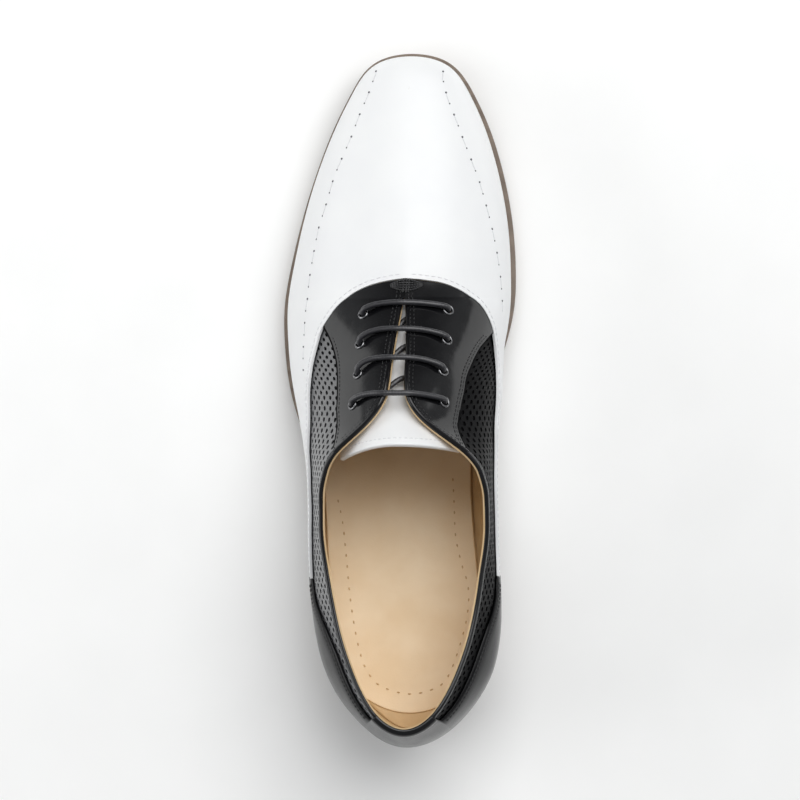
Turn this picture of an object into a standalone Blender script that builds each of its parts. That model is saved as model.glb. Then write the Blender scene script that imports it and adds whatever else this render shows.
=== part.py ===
"""A left two-tone laced dress shoe, built as an assembly of separate pieces.

The frame has +Z up, +Y towards the toe and +X towards the inner (medial) side of the foot.
The tables are in millimetres. A station is a distance from the back of the heel towards the toe,
and a turn is an angle round the sole: 0 at the toe tip, pi at the back of the heel, with the
outer (lateral) side between them, and the inner side from pi on to a full turn.
"""

import math

import bmesh
import bpy
import numpy as np
from mathutils import Matrix, Vector

MM = 0.001
FULL_TURN = 2.0 * math.pi

# Driving sizes
TOE_TIP = 301.0
HEEL_BACK = 7.0
SOLE_THICKNESS = 5.0
INSOLE_THICKNESS = 3.0
WALL = 1.8
GAP = 0.3
WELD = 0.1
TOE_SETBACK = 17.0
TOE_SETBACK_FROM = 230.0
HEEL_SETBACK = 5.2
HEEL_SETBACK_TO = 70.0
HEEL_BREAST = 74.0
HEEL_BREAST_HOLLOW = 5.0
HEEL_TAPER = 2.5
UPPER_ROWS = 9
FOOT_HANDLE_OUT = 0.45
FOOT_HANDLE_UP = 0.22
WIDE_HANDLE = 0.5
LOW_PART_POINTS = 13
HIGH_PART_POINTS = 37
NUDGE = 0.004
OVERLAY_LIFT = 0.5
VAMP_THICKNESS = 1.1
FACING_THICKNESS = 0.75
COUNTER_THICKNESS = 1.6
BINDING_THICKNESS = 0.7
BINDING_WIDTH = 4.0
BINDING_STATIONS = (129.0, 15.6)
TAB_STATION = 14.3
EDGE_TRIM = 0.3
COLUMN_GAP = 0.4
FOOT_TRIM = 1.5
EYELET_BORE = 1.55
EYELET_BARREL = 1.95
EYELET_FLANGE = 2.7
EYELET_FLANGE_LIFT = 1.45
EYELET_TOP_LIFT = 1.95
EYELET_FOOT_LIFT = -2.0
EYELET_HOLE = 2.2
PUNCH_LENGTH = 12.0
ROUND_SIDES = 8
LACE_RADIUS = 1.1
LACE_BOW = 5.0

# Outline of the sole, half widths on both sides
SOLE_PLAN = (
    # station, lateral, medial
    (13.0, 13.8, 15.2),
    (20.0, 21.0, 22.4),
    (27.0, 26.4, 27.5),
    (40.0, 32.6, 33.2),
    (60.0, 36.7, 34.0),
    (85.0, 39.3, 31.8),
    (107.0, 41.0, 30.0),
    (128.0, 44.8, 30.2),
    (150.0, 52.0, 33.2),
    (164.0, 54.9, 36.8),
    (178.0, 56.2, 41.0),
    (192.0, 56.1, 43.9),
    (207.0, 53.7, 44.5),
    (228.0, 48.7, 43.1),
    (249.0, 42.2, 39.3),
    (270.0, 33.8, 32.9),
    (284.0, 26.6, 26.5),
    (291.5, 22.0, 22.0),
    (298.4, 13.6, 13.6),
)

# Underside of the sole along its middle: heel seat, arch, flat tread and toe spring
SOLE_BOTTOM = (
    # station, height
    (7.0, 26.0),
    (40.0, 24.3),
    (70.0, 22.2),
    (100.0, 16.5),
    (130.0, 8.8),
    (155.0, 3.2),
    (180.0, 0.0),
    (218.0, 0.0),
    (240.0, 1.2),
    (270.0, 4.6),
    (301.0, 10.5),
)

# Side wall of the upper: its foot lies inside the sole edge, then it swells out to its widest place
SIDE_WALL = (
    # station, inset, lateral swell, medial swell, lateral height, medial height
    (7.0, 2.0, 4.2, 4.2, 19.0, 19.0),
    (40.0, 2.1, 4.1, 4.6, 19.0, 20.0),
    (60.0, 2.4, 4.5, 6.5, 18.0, 22.0),
    (85.0, 2.5, 4.6, 8.1, 17.0, 26.0),
    (107.0, 2.7, 3.7, 9.5, 16.0, 29.0),
    (128.0, 3.3, 2.2, 9.8, 16.0, 30.0),
    (150.0, 4.8, 0.8, 9.6, 16.0, 27.0),
    (178.0, 5.4, 1.0, 3.9, 15.0, 20.0),
    (207.0, 5.4, 1.4, 2.3, 14.0, 15.0),
    (250.0, 5.4, 2.2, 2.2, 12.0, 12.0),
    (285.0, 5.2, 2.2, 2.2, 10.0, 10.0),
    (301.0, 5.0, 1.8, 1.8, 9.0, 9.0),
)

# Upper edge of the upper: the ridge of the vamp, then the lacing slit, then the topline
TOP_EDGE = (
    # station, lateral height, medial height, ridge offset, lean in degrees, fullness on both sides
    (12.2, 93.0, 93.0, 0.8, 80.0, 0.36, 0.36),
    (24.0, 90.0, 90.5, 0.8, 80.0, 0.36, 0.36),
    (42.0, 83.5, 85.0, 0.7, 80.0, 0.34, 0.34),
    (65.0, 78.2, 81.0, 0.4, 79.0, 0.33, 0.33),
    (85.0, 76.6, 80.0, 0.1, 79.0, 0.33, 0.33),
    (104.0, 78.6, 82.0, 0.1, 78.0, 0.33, 0.33),
    (120.0, 85.0, 87.0, 0.0, 72.0, 0.33, 0.34),
    (130.0, 90.6, 91.6, -0.8, 60.0, 0.33, 0.36),
    (138.0, 94.8, 95.2, -1.7, 45.0, 0.33, 0.39),
    (146.0, 97.0, 97.2, -2.4, 32.0, 0.32, 0.42),
    (153.0, 95.4, 95.4, -2.4, 24.0, 0.32, 0.44),
    (175.0, 80.8, 80.8, -1.3, 15.0, 0.33, 0.49),
    (194.0, 69.0, 69.0, -0.3, 9.0, 0.40, 0.53),
    (204.0, 63.6, 63.6, 0.0, 6.0, 0.46, 0.55),
    (230.0, 53.0, 53.0, 0.0, 2.0, 0.56, 0.60),
    (250.0, 47.0, 47.0, 0.0, 0.0, 0.60, 0.60),
    (270.0, 41.4, 41.4, 0.0, 0.0, 0.60, 0.60),
    (284.0, 36.6, 36.6, 0.0, 0.0, 0.60, 0.60),
)

# Half width of the opening: the collar from the heel forwards, then the lacing slit up to its end
OPENING = (
    # station, half width
    (12.2, 0.0),
    (20.0, 13.3),
    (37.7, 22.8),
    (54.6, 28.2),
    (75.0, 32.1),
    (98.0, 34.9),
    (110.0, 34.7),
    (120.5, 32.5),
    (130.2, 26.6),
    (133.6, 22.0),
    (137.6, 15.9),
    (143.3, 9.7),
    (149.0, 5.5),
    (153.0, 3.6),
    (170.0, 2.9),
    (184.0, 1.7),
    (193.5, 0.0),
)

# Tongue: an arched leaf from under the throat to above the facings
TONGUE = (
    # station, half width, height, drop of the lateral and of the medial side, how far the sides lie back
    (131.6, 26.0, 103.0, 22.5, 21.0, 6.0),
    (136.0, 25.6, 99.8, 21.5, 19.5, 5.0),
    (142.0, 24.6, 94.8, 18.5, 15.8, 3.5),
    (150.0, 23.0, 88.6, 15.5, 12.5, 2.0),
    (165.0, 20.0, 79.4, 10.5, 8.5, 0.5),
    (185.0, 17.0, 67.4, 6.8, 6.0, 0.0),
    (200.0, 14.0, 62.6, 5.0, 5.0, 0.0),
)
TONGUE_THICKNESS = 2.2

# Upper edge of the vamp as a share of the rib: across the throat, then back along both sides
VAMP_SEAM = (
    # station, lateral, medial
    (76.3, 0.462, 0.489),
    (86.0, 0.516, 0.487),
    (97.0, 0.544, 0.495),
    (108.0, 0.554, 0.494),
    (120.0, 0.536, 0.473),
    (136.0, 0.480, 0.421),
    (150.0, 0.455, 0.390),
    (163.0, 0.490, 0.402),
    (172.0, 0.525, 0.433),
    (179.3, 0.555, 0.482),
    (185.3, 0.605, 0.535),
    (190.9, 0.660, 0.597),
    (195.8, 0.730, 0.682),
    (198.7, 0.800, 0.755),
    (200.4, 0.870, 0.820),
    (201.2, 0.940, 0.915),
    (202.0, 1.000, 1.000),
)
THROAT_STATIONS = (202.0, 201.2, 200.4)

# Rear edge of the facings as a share of the rib, from the topline down to the vamp
FACING_REAR = (
    # station, lateral, medial
    (127.6, 1.000, 1.000),
    (133.7, 0.890, 0.910),
    (138.3, 0.825, 0.850),
    (146.7, 0.742, 0.755),
    (155.2, 0.715, 0.705),
    (160.5, 0.708, 0.690),
    (166.0, 0.693, 0.655),
    (172.8, 0.655, 0.590),
    (176.5, 0.625, 0.530),
    (181.0, 0.580, 0.460),
    (202.0, 0.300, 0.300),
)
FACING_END = 130.4

# Upper edge of the heel counter as a share of the rib, without its tab
COUNTER_TOP = (
    # station, lateral, medial
    (13.0, 0.775, 0.770),
    (22.5, 0.775, 0.742),
    (31.0, 0.785, 0.746),
    (37.0, 0.786, 0.747),
    (42.0, 0.780, 0.744),
    (48.0, 0.744, 0.728),
    (54.0, 0.690, 0.692),
    (59.5, 0.612, 0.640),
    (65.0, 0.520, 0.580),
    (70.0, 0.470, 0.536),
    (75.5, 0.450, 0.510),
)

# Eyelets on both facings, from the throat up
EYELETS = (
    # lateral station, its distance from the slit, medial station, its distance from the slit
    (187.0, 16.6, 188.5, 18.2),
    (174.0, 16.2, 175.8, 17.9),
    (161.3, 15.6, 163.0, 17.2),
    (148.4, 15.0, 150.2, 17.0),
)

# Lace beside an eyelet, over the facing, under it and where the lace ends; the last row is at the slit
LACE_OVER = (
    # distance from the eyelet, lift
    (0.0, 0.5),
    (0.25, 2.2),
    (1.1, 3.25),
    (2.8, 3.6),
    (9.0, 2.9),
    (20.0, 2.8),
)
LACE_UNDER = (
    # distance from the eyelet, lift
    (0.0, -0.9),
    (0.2, -2.4),
    (1.1, -3.25),
    (2.8, -3.45),
    (20.0, -3.4),
)
LACE_END = ((0.0, -2.4),)

# Columns of the upper's grid on one side, from the toe tip to the back of the heel
COLUMN_STOPS = (
    # station, columns up to it from the stop before
    (301.0, 0),
    (285.0, 5),
    (205.0, 8),
    (160.0, 7),
    (116.0, 12),
    (32.0, 7),
    (7.0, 4),
)


def steady(rows, query):
    """All columns of a table at the queried stations, through a cubic that never overshoots a row."""
    rows = np.asarray(rows, dtype=float)
    at, values = rows[:, 0], rows[:, 1:]
    step = np.diff(at)[:, None]
    rate = np.diff(values, axis=0) / step
    product = rate[1:] * rate[:-1]
    total = np.where(product > 0.0, rate[1:] + rate[:-1], 1.0)
    slope = np.vstack([rate[:1], np.where(product > 0.0, 2.0 * product / total, 0.0), rate[-1:]])
    query = np.clip(np.asarray(query, dtype=float), at[0], at[-1])
    low = np.clip(np.searchsorted(at, query) - 1, 0, len(at) - 2)
    t = ((query - at[low]) / step[low, 0])[..., None]
    start = values[low] * (1.0 + 2.0 * t) + slope[low] * step[low] * t
    stop = values[low + 1] * (3.0 - 2.0 * t) - slope[low + 1] * step[low] * (1.0 - t)
    return start * (1.0 - t) ** 2 + stop * t**2


def closed_spline(knots, values, query):
    """Smooth closed curve through the values at the knots, which go once round from 0 to a full turn."""
    count = len(knots)
    step = np.diff(np.append(knots, knots[0] + FULL_TURN))
    rate = (np.roll(values, -1) - values) / step
    system = np.zeros((count, count))
    for k in range(count):
        system[k, k - 1] = step[k - 1]
        system[k, k] = 2.0 * (step[k - 1] + step[k])
        system[k, (k + 1) % count] = step[k]
    bend = np.linalg.solve(system, 6.0 * (rate - np.roll(rate, 1)))
    query = np.mod(query, FULL_TURN)
    k = np.searchsorted(knots, query, side="right") - 1
    after = (k + 1) % count
    h = step[k]
    b = (query - knots[k]) / h
    a = 1.0 - b
    curve = ((a**3 - a) * bend[k] + (b**3 - b) * bend[after]) * h**2 / 6.0
    return a * values[k] + b * values[after] + curve


def station_of(turn):
    """Station of the rib at a turn round the sole."""
    return (TOE_TIP + HEEL_BACK) / 2.0 + (TOE_TIP - HEEL_BACK) / 2.0 * np.cos(turn)


def turn_of(station):
    """Turn of a station, on the lateral side."""
    ratio = (2.0 * np.asarray(station) - TOE_TIP - HEEL_BACK) / (TOE_TIP - HEEL_BACK)
    return np.arccos(np.clip(ratio, -1.0, 1.0))


def outline_knots():
    """Turns and sideways places of the sole's outline, once round from the toe tip."""
    rows = np.array(SOLE_PLAN)
    turns = turn_of(rows[:, 0])
    lateral = sorted(zip(turns, -rows[:, 1]))
    medial = sorted(zip(FULL_TURN - turns, rows[:, 2]))
    loop = [(0.0, 0.0)] + lateral + [(math.pi, 0.0)] + medial
    return np.array(loop).T


OUTLINE_TURNS, OUTLINE_PLACES = outline_knots()


def sole_edge(turn, inset=0.0):
    """Plan point of the sole's edge at a turn, moved inwards, and the outward direction there."""

    def edge(at):
        return np.stack([closed_spline(OUTLINE_TURNS, OUTLINE_PLACES, at), station_of(at)], axis=-1)

    along = edge(turn + NUDGE) - edge(turn - NUDGE)
    along /= np.linalg.norm(along, axis=-1, keepdims=True)
    outward = np.stack([along[..., 1], -along[..., 0]], axis=-1)
    return edge(turn) - outward * np.asarray(inset)[..., None], outward


def sole_bottom(station):
    return steady(SOLE_BOTTOM, station)[..., 0]


def sole_top(station):
    return sole_bottom(station) + SOLE_THICKNESS


def edge_station(station):
    """Station where the rib of a station ends at the top: set back over the toe, forwards at the heel."""
    toe = np.clip((station - TOE_SETBACK_FROM) / (TOE_TIP - TOE_SETBACK_FROM), 0.0, 1.0)
    heel = np.clip((HEEL_SETBACK_TO - station) / (HEEL_SETBACK_TO - HEEL_BACK), 0.0, 1.0)
    return station - TOE_SETBACK * toe**2 + HEEL_SETBACK * heel**2


def half_opening(station):
    """Half width of the collar or of the slit. Squares are interpolated, so both ends are round."""
    rows = np.array(OPENING)
    rows[:, 1] **= 2
    width = np.sqrt(np.maximum(steady(rows, station)[..., 0], 0.0))
    return np.where(station >= rows[-1, 0], 0.0, width)


def ribs(turn):
    """Seven control points for each rib: foot, two handles, widest place, two handles, top edge."""
    turn = np.mod(turn, FULL_TURN)
    medial = turn > math.pi
    station = station_of(turn)
    inset, swell_l, swell_m, height_l, height_m = np.moveaxis(steady(SIDE_WALL, station), -1, 0)
    swell = np.where(medial, swell_m, swell_l)
    height = np.where(medial, height_m, height_l)
    plan, outward = sole_edge(turn, inset)
    foot = np.concatenate([plan, (sole_top(plan[..., 1]) + GAP)[..., None]], axis=-1)
    out = np.concatenate([outward, np.zeros_like(outward[..., :1])], axis=-1)
    up = np.zeros_like(foot) + (0.0, 0.0, 1.0)
    wide = foot + out * swell[..., None] + up * height[..., None]

    top = edge_station(station)
    edge_l, edge_m, ridge, lean, full_l, full_m = np.moveaxis(steady(TOP_EDGE, top), -1, 0)
    fullness = np.where(medial, full_m, full_l)
    side = np.where(medial, 1.0, -1.0)
    edge = np.stack([ridge + side * half_opening(top), top, np.where(medial, edge_m, edge_l)], axis=-1)
    slope = (steady(TOP_EDGE, top)[..., 0] - steady(TOP_EDGE, top - 1.0)[..., 0])
    across = (wide - edge) * (1.0, 1.0, 0.0)
    span = np.linalg.norm(across, axis=-1)
    across /= span[..., None]
    rise = edge[..., 2] - wide[..., 2]
    lean = np.radians(lean)
    reach = fullness * (np.cos(lean) * span + np.sin(lean) * rise)
    fall = -np.sin(lean) + np.where(half_opening(top) > 0.0, 0.0, slope) * across[..., 1]
    top_handle = edge + (across * np.cos(lean)[..., None] + up * fall[..., None]) * reach[..., None]
    low_handle = wide + up * (fullness * rise)[..., None]
    foot_handle = foot + out * (FOOT_HANDLE_OUT * swell)[..., None]
    foot_handle = foot_handle + up * (FOOT_HANDLE_UP * height)[..., None]
    wide_handle = wide - up * (WIDE_HANDLE * height)[..., None]
    return np.stack([foot, foot_handle, wide_handle, wide, low_handle, top_handle, edge], axis=-2)


def rib_lines(turn):
    """Points along each rib, and their distance from its foot as a share of the whole."""
    points = ribs(turn)

    def bezier(a, b, c, d, count):
        t = np.linspace(0.0, 1.0, count)[:, None]
        weights = ((1.0 - t) ** 3, 3.0 * t * (1.0 - t) ** 2, 3.0 * t**2 * (1.0 - t), t**3)
        return sum(w * points[..., None, k, :] for w, k in zip(weights, (a, b, c, d)))

    low = bezier(0, 1, 2, 3, LOW_PART_POINTS)[..., :-1, :]
    high = bezier(3, 4, 5, 6, HIGH_PART_POINTS)
    line = np.concatenate([low, high], axis=-2)
    steps = np.linalg.norm(np.diff(line, axis=-2), axis=-1)
    along = np.concatenate([np.zeros_like(steps[..., :1]), np.cumsum(steps, axis=-1)], axis=-1)
    return line, along / along[..., -1:], along[..., -1]


def on_skin(turn, rise):
    """Points of the upper's outer face, at a turn and at a share of the way up the rib."""
    line, share, _ = rib_lines(turn)
    rise = np.clip(rise, 0.0, 1.0)[..., None]
    low = np.clip((share < rise).sum(axis=-1, keepdims=True) - 1, 0, share.shape[-1] - 2)
    share_low = np.take_along_axis(share, low, -1)
    t = (rise - share_low) / (np.take_along_axis(share, low + 1, -1) - share_low)
    start = np.take_along_axis(line, low[..., None], -2)[..., 0, :]
    stop = np.take_along_axis(line, low[..., None] + 1, -2)[..., 0, :]
    return start + (stop - start) * t


def skin(turn, rise, lift=0.0):
    """Points of the upper's outer face, moved outwards along the face's normal.

    On the ridge of the vamp both sides share one normal, so that they stay joined.
    """
    turn, rise = np.broadcast_arrays(np.asarray(turn, dtype=float), np.asarray(rise, dtype=float))
    point = on_skin(turn, rise)
    inside = np.clip(rise, NUDGE, 1.0 - NUDGE)
    round_it = on_skin(turn + NUDGE, inside) - on_skin(turn - NUDGE, inside)
    up_it = on_skin(turn, inside + NUDGE) - on_skin(turn, inside - NUDGE)
    normal = np.cross(round_it, up_it)
    closed = (rise >= 1.0) & (half_opening(edge_station(station_of(turn))) == 0.0)
    normal[..., 0] = np.where(closed, 0.0, normal[..., 0])
    normal /= np.linalg.norm(normal, axis=-1, keepdims=True)
    return point + normal * np.asarray(lift)[..., None]


def side_turns():
    """Turns of the upper's columns from the toe tip to the back of the heel, lateral side."""
    stops = turn_of(np.array([stop for stop, _ in COLUMN_STOPS]))
    turns = [stops[:1]]
    for before, after, (_, count) in zip(stops, stops[1:], COLUMN_STOPS[1:]):
        turns.append(np.linspace(before, after, count + 1)[1:])
    return np.concatenate(turns)


SIDE_TURNS = side_turns()
LOOP_TURNS = np.concatenate([SIDE_TURNS, FULL_TURN - SIDE_TURNS[-2::-1]])


def leather(name, colour, roughness, metallic=0.0):
    """Principled material of one piece, with its colour in linear values."""
    material = bpy.data.materials.new(name)
    material.use_nodes = True
    shader = material.node_tree.nodes["Principled BSDF"]
    shader.inputs["Base Color"].default_value = (*colour, 1.0)
    shader.inputs["Roughness"].default_value = roughness
    shader.inputs["Metallic"].default_value = metallic
    material.diffuse_color = (*colour, 1.0)
    return material


def add_piece(name, mesh, collection, root):
    """Object for a finished mesh, in the collection and under the root."""
    piece = bpy.data.objects.new(name, mesh)
    collection.objects.link(piece)
    piece.parent = root
    return piece


def grid_mesh(name, columns, rows, place, material, depth=None):
    """Mesh of a grid whose vertices are moved to place(column, row), and raised by a depth."""
    bm = bmesh.new()
    bmesh.ops.create_grid(bm, x_segments=columns, y_segments=rows, size=1.0)
    column = np.array([round((v.co.x + 1.0) / 2.0 * columns) for v in bm.verts])
    row = np.array([round((v.co.y + 1.0) / 2.0 * rows) for v in bm.verts])
    for vertex, point in zip(bm.verts, place(column, row)):
        vertex.co = Vector(point) * MM
    bmesh.ops.remove_doubles(bm, verts=bm.verts, dist=WELD * MM)
    bmesh.ops.dissolve_degenerate(bm, edges=bm.edges, dist=WELD * MM)
    if depth is not None:
        bmesh.ops.reverse_faces(bm, faces=bm.faces)
        raised = bmesh.ops.extrude_face_region(bm, geom=bm.faces, use_keep_orig=True)["geom"]
        for vertex in (v for v in raised if isinstance(v, bmesh.types.BMVert)):
            vertex.co = depth(vertex.co)
        bmesh.ops.recalc_face_normals(bm, faces=bm.faces)
    mesh = bpy.data.meshes.new(name)
    bm.to_mesh(mesh)
    bm.free()
    mesh.materials.append(material)
    mesh.shade_smooth()
    return mesh


def wall(piece, thickness, outwards):
    """Wall of a real thickness, grown to one side of an open sheet."""
    solid = piece.modifiers.new("wall", "SOLIDIFY")
    solid.thickness = thickness * MM
    solid.offset = 1.0 if outwards else -1.0
    solid.use_even_offset = True
    solid.use_quality_normals = True
    return solid


def plan_sheet(turns, inset_of, height_of, rows):
    """Placer for a flat leaf: columns cross the shoe from the lateral to the medial edge."""

    def place(column, row):
        turn = turns[column]
        inset = inset_of(station_of(turn))
        left, _ = sole_edge(turn, inset)
        right, _ = sole_edge(FULL_TURN - turn, inset)
        plan = left + (right - left) * (row / rows)[:, None]
        return np.column_stack([plan, height_of(plan[:, 1])])

    return place


def make_outsole(collection, root, material):
    """Sole with arch and toe spring, straight up from its underside."""
    rows = 3
    place = plan_sheet(SIDE_TURNS, np.zeros_like, sole_bottom, rows)
    lift = Vector((0.0, 0.0, SOLE_THICKNESS * MM))
    mesh = grid_mesh("outsole", len(SIDE_TURNS) - 1, rows, place, material, lambda co: co + lift)
    return add_piece("outsole", mesh, collection, root)


def make_heel(collection, root, material):
    """Heel block under the seat: flat below, tapered towards the floor, with a hollowed breast."""
    columns, rows = 12, 6
    turns = np.linspace(turn_of(HEEL_BREAST), math.pi, columns + 1)
    breast = station_of(turns[0])

    def place(column, row):
        turn = turns[column]
        left, _ = sole_edge(turn, np.zeros_like(turn))
        right, _ = sole_edge(FULL_TURN - turn, np.zeros_like(turn))
        across = row / rows
        plan = left + (right - left) * across[:, None]
        front = np.clip((plan[:, 1] - HEEL_BACK) / (breast - HEEL_BACK), 0.0, 1.0)
        plan[:, 1] -= HEEL_BREAST_HOLLOW * 4.0 * across * (1.0 - across) * front**3
        return np.column_stack([plan, sole_bottom(plan[:, 1]) - GAP])

    centre = Vector((0.0, (HEEL_BACK + HEEL_BREAST) / 2.0 * MM, 0.0))
    half = (HEEL_BREAST - HEEL_BACK) / 2.0
    shrink = (half - HEEL_TAPER) / half

    def down(co):
        moved = centre + (co - centre) * shrink
        return Vector((moved.x, moved.y, 0.0))

    mesh = grid_mesh("heel", columns, rows, place, material, down)
    return add_piece("heel", mesh, collection, root)


def make_insole(collection, root, material):
    """Insole on the sole, inside the foot of the upper's wall."""
    rows = 2

    def inset(station):
        return steady(SIDE_WALL, station)[..., 0] + WALL + 2.0 * GAP

    def height(station):
        return sole_top(station) + GAP

    place = plan_sheet(SIDE_TURNS, inset, height, rows)
    lift = Vector((0.0, 0.0, INSOLE_THICKNESS * MM))
    mesh = grid_mesh("insole", len(SIDE_TURNS) - 1, rows, place, material, lambda co: co + lift)
    return add_piece("insole", mesh, collection, root)


def make_upper(collection, root, material):
    """Hollow wall of the upper, sewn together along the ridge and open at slit, collar and underneath."""

    def place(column, row):
        return skin(LOOP_TURNS[column], row / UPPER_ROWS)

    mesh = grid_mesh("upper", len(LOOP_TURNS) - 1, UPPER_ROWS, place, material)
    piece = add_piece("upper", mesh, collection, root)
    wall(piece, WALL, outwards=False)
    return piece


def make_tongue(collection, root, material):
    """Tongue, an arched leaf that hangs from the throat under both facings."""
    columns, rows = 8, 10
    stations = np.linspace(TONGUE[-1][0], TONGUE[0][0], rows + 1)

    def place(column, row):
        across = column / columns * 2.0 - 1.0
        station = stations[row]
        half, height, drop_l, drop_m, back = np.moveaxis(steady(TONGUE, station), -1, 0)
        middle = steady(TOP_EDGE, station)[..., 2]
        drop = np.where(across > 0.0, drop_m, drop_l)
        return np.column_stack([
            middle + across * half, station - back * across**2, height - drop * across**2])

    mesh = grid_mesh("tongue", columns, rows, place, material)
    mesh.flip_normals()
    piece = add_piece("tongue", mesh, collection, root)
    wall(piece, TONGUE_THICKNESS, outwards=False)
    return piece


def pattern_line(rows, turn):
    """Share of the rib where a line of the pattern crosses it, from a table with both sides."""
    turn = np.mod(turn, FULL_TURN)
    lateral, medial = np.moveaxis(steady(rows, station_of(turn)), -1, 0)
    return np.where(turn > math.pi, medial, lateral)


def share(turn, distance):
    """A distance along the rib as a share of its length."""
    return distance / rib_lines(turn)[2]


def make_overlay(name, turns, low, high, thickness, material, collection, root):
    """Leather piece on the upper's outer face, cut from the upper's own grid between two lines.

    The lines are shares of each rib. Rows of the grid outside them are drawn in to the nearer line.
    """

    def place(column, row):
        rise = np.clip(row / UPPER_ROWS, low[column], high[column])
        return skin(turns[column], rise, OVERLAY_LIFT)

    mesh = grid_mesh(name, len(turns) - 1, UPPER_ROWS, place, material)
    piece = add_piece(name, mesh, collection, root)
    wall(piece, thickness, outwards=True)
    return piece


def columns_between(ahead, behind, extra=()):
    """Turns of the upper's own columns between two stations, with both stations and some extra ones."""
    stations = station_of(SIDE_TURNS)
    inner = stations[(stations < ahead - COLUMN_GAP) & (stations > behind + COLUMN_GAP)]
    return np.sort(turn_of(np.array([ahead, *inner, behind, *extra])))


def make_vamp(collection, root, material):
    """Vamp over the toe, with wings that run back along both sides to the heel counter."""
    side = columns_between(TOE_TIP, VAMP_SEAM[0][0], THROAT_STATIONS)
    turns = np.concatenate([-side[:0:-1], side])
    low = share(turns, FOOT_TRIM)
    high = pattern_line(VAMP_SEAM, turns)
    return make_overlay("vamp", turns, low, high, VAMP_THICKNESS, material, collection, root)


def make_facing(collection, root, material, medial):
    """Facing beside the slit, from the throat back to the topline."""
    turns = columns_between(THROAT_STATIONS[1], FACING_END, THROAT_STATIONS[2:])
    ahead = turn_of(station_of(turns) + 2.0 * GAP)
    if medial:
        turns, ahead = FULL_TURN - turns[::-1], FULL_TURN - ahead[::-1]
    seam = pattern_line(VAMP_SEAM, ahead) + share(turns, EDGE_TRIM)
    low = np.maximum(pattern_line(FACING_REAR, turns), seam)
    high = 1.0 - share(turns, EDGE_TRIM)
    name = "facing_medial" if medial else "facing_lateral"
    return make_overlay(name, turns, low, high, FACING_THICKNESS, material, collection, root)


def make_counter(collection, root, material):
    """Heel counter, which comes forwards to a tip on both sides and has a tab up to the topline."""
    side = columns_between(COUNTER_TOP[-1][0], HEEL_BACK, (TAB_STATION, TAB_STATION + 2.0 * GAP))
    turns = np.concatenate([side, FULL_TURN - side[-2::-1]])
    in_tab = station_of(turns) < TAB_STATION + GAP
    low = share(turns, FOOT_TRIM)
    high = np.where(in_tab, 1.0 - share(turns, EDGE_TRIM), pattern_line(COUNTER_TOP, turns))
    return make_overlay("heel_counter", turns, low, high, COUNTER_THICKNESS, material, collection, root)


def make_binding(collection, root, material, medial):
    """Narrow binding along the topline, from the facing to the tab of the heel counter."""
    turns = columns_between(*BINDING_STATIONS)
    turns = FULL_TURN - turns[::-1] if medial else turns
    low = 1.0 - share(turns, BINDING_WIDTH)
    high = 1.0 - share(turns, EDGE_TRIM)
    name = "collar_binding_medial" if medial else "collar_binding_lateral"
    return make_overlay(name, turns, low, high, BINDING_THICKNESS, material, collection, root)


def eyelet_place(number, medial):
    """Turn and share of the rib of an eyelet."""
    station, distance = EYELETS[number][2:] if medial else EYELETS[number][:2]
    turn = turn_of(station)
    turn = FULL_TURN - turn if medial else turn
    return turn, 1.0 - share(turn, distance)


def eyelet_frame(number, medial):
    """Transform of an eyelet, with its axis along the upper's normal."""
    turn, rise = eyelet_place(number, medial)
    foot, tip = skin(turn, rise, 0.0), skin(turn, rise, 1.0)
    axis = Vector(tip - foot)
    return Matrix.Translation(Vector(foot) * MM) @ axis.to_track_quat("Z", "Y").to_matrix().to_4x4()


def make_eyelet(collection, root, material, number, medial):
    """Turned eyelet: a flange on the facing and a barrel through the leather."""
    profile = (
        (EYELET_BORE, EYELET_FOOT_LIFT),
        (EYELET_BARREL, EYELET_FOOT_LIFT),
        (EYELET_BARREL, EYELET_FLANGE_LIFT),
        (EYELET_FLANGE, EYELET_FLANGE_LIFT),
        (EYELET_FLANGE - GAP, EYELET_TOP_LIFT),
        (EYELET_BORE, EYELET_TOP_LIFT),
    )
    name = "eyelet_%s_%d" % ("medial" if medial else "lateral", number + 1)
    bm = bmesh.new()
    loop = [bm.verts.new((radius * MM, 0.0, lift * MM)) for radius, lift in profile]
    for k, vertex in enumerate(loop):
        bm.edges.new((vertex, loop[k - 1]))
    bmesh.ops.spin(
        bm, geom=bm.verts[:] + bm.edges[:], cent=(0.0, 0.0, 0.0), axis=(0.0, 0.0, 1.0),
        angle=FULL_TURN, steps=ROUND_SIDES, use_merge=True)
    bmesh.ops.recalc_face_normals(bm, faces=bm.faces)
    bmesh.ops.transform(bm, matrix=eyelet_frame(number, medial), verts=bm.verts)
    mesh = bpy.data.meshes.new(name)
    bm.to_mesh(mesh)
    bm.free()
    mesh.materials.append(material)
    return add_piece(name, mesh, collection, root)


def make_hole_cutter(collection, root, medial):
    """Round punches at the eyelets of one facing."""
    bm = bmesh.new()
    for number in range(len(EYELETS)):
        bmesh.ops.create_cone(
            bm, cap_ends=True, segments=ROUND_SIDES, radius1=EYELET_HOLE * MM, radius2=EYELET_HOLE * MM,
            depth=PUNCH_LENGTH * MM, matrix=eyelet_frame(number, medial))
    mesh = bpy.data.meshes.new("eyelet_punches")
    bm.to_mesh(mesh)
    bm.free()
    cutter = add_piece("eyelet_punches_%s" % ("medial" if medial else "lateral"), mesh, collection, root)
    cutter.hide_render = True
    cutter.display_type = "WIRE"
    return cutter


def punch(piece, cutter):
    """Holes through a finished wall."""
    cut = piece.modifiers.new("eyelet_holes", "BOOLEAN")
    cut.operation = "DIFFERENCE"
    cut.solver = "EXACT"
    cut.object = cutter


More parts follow.
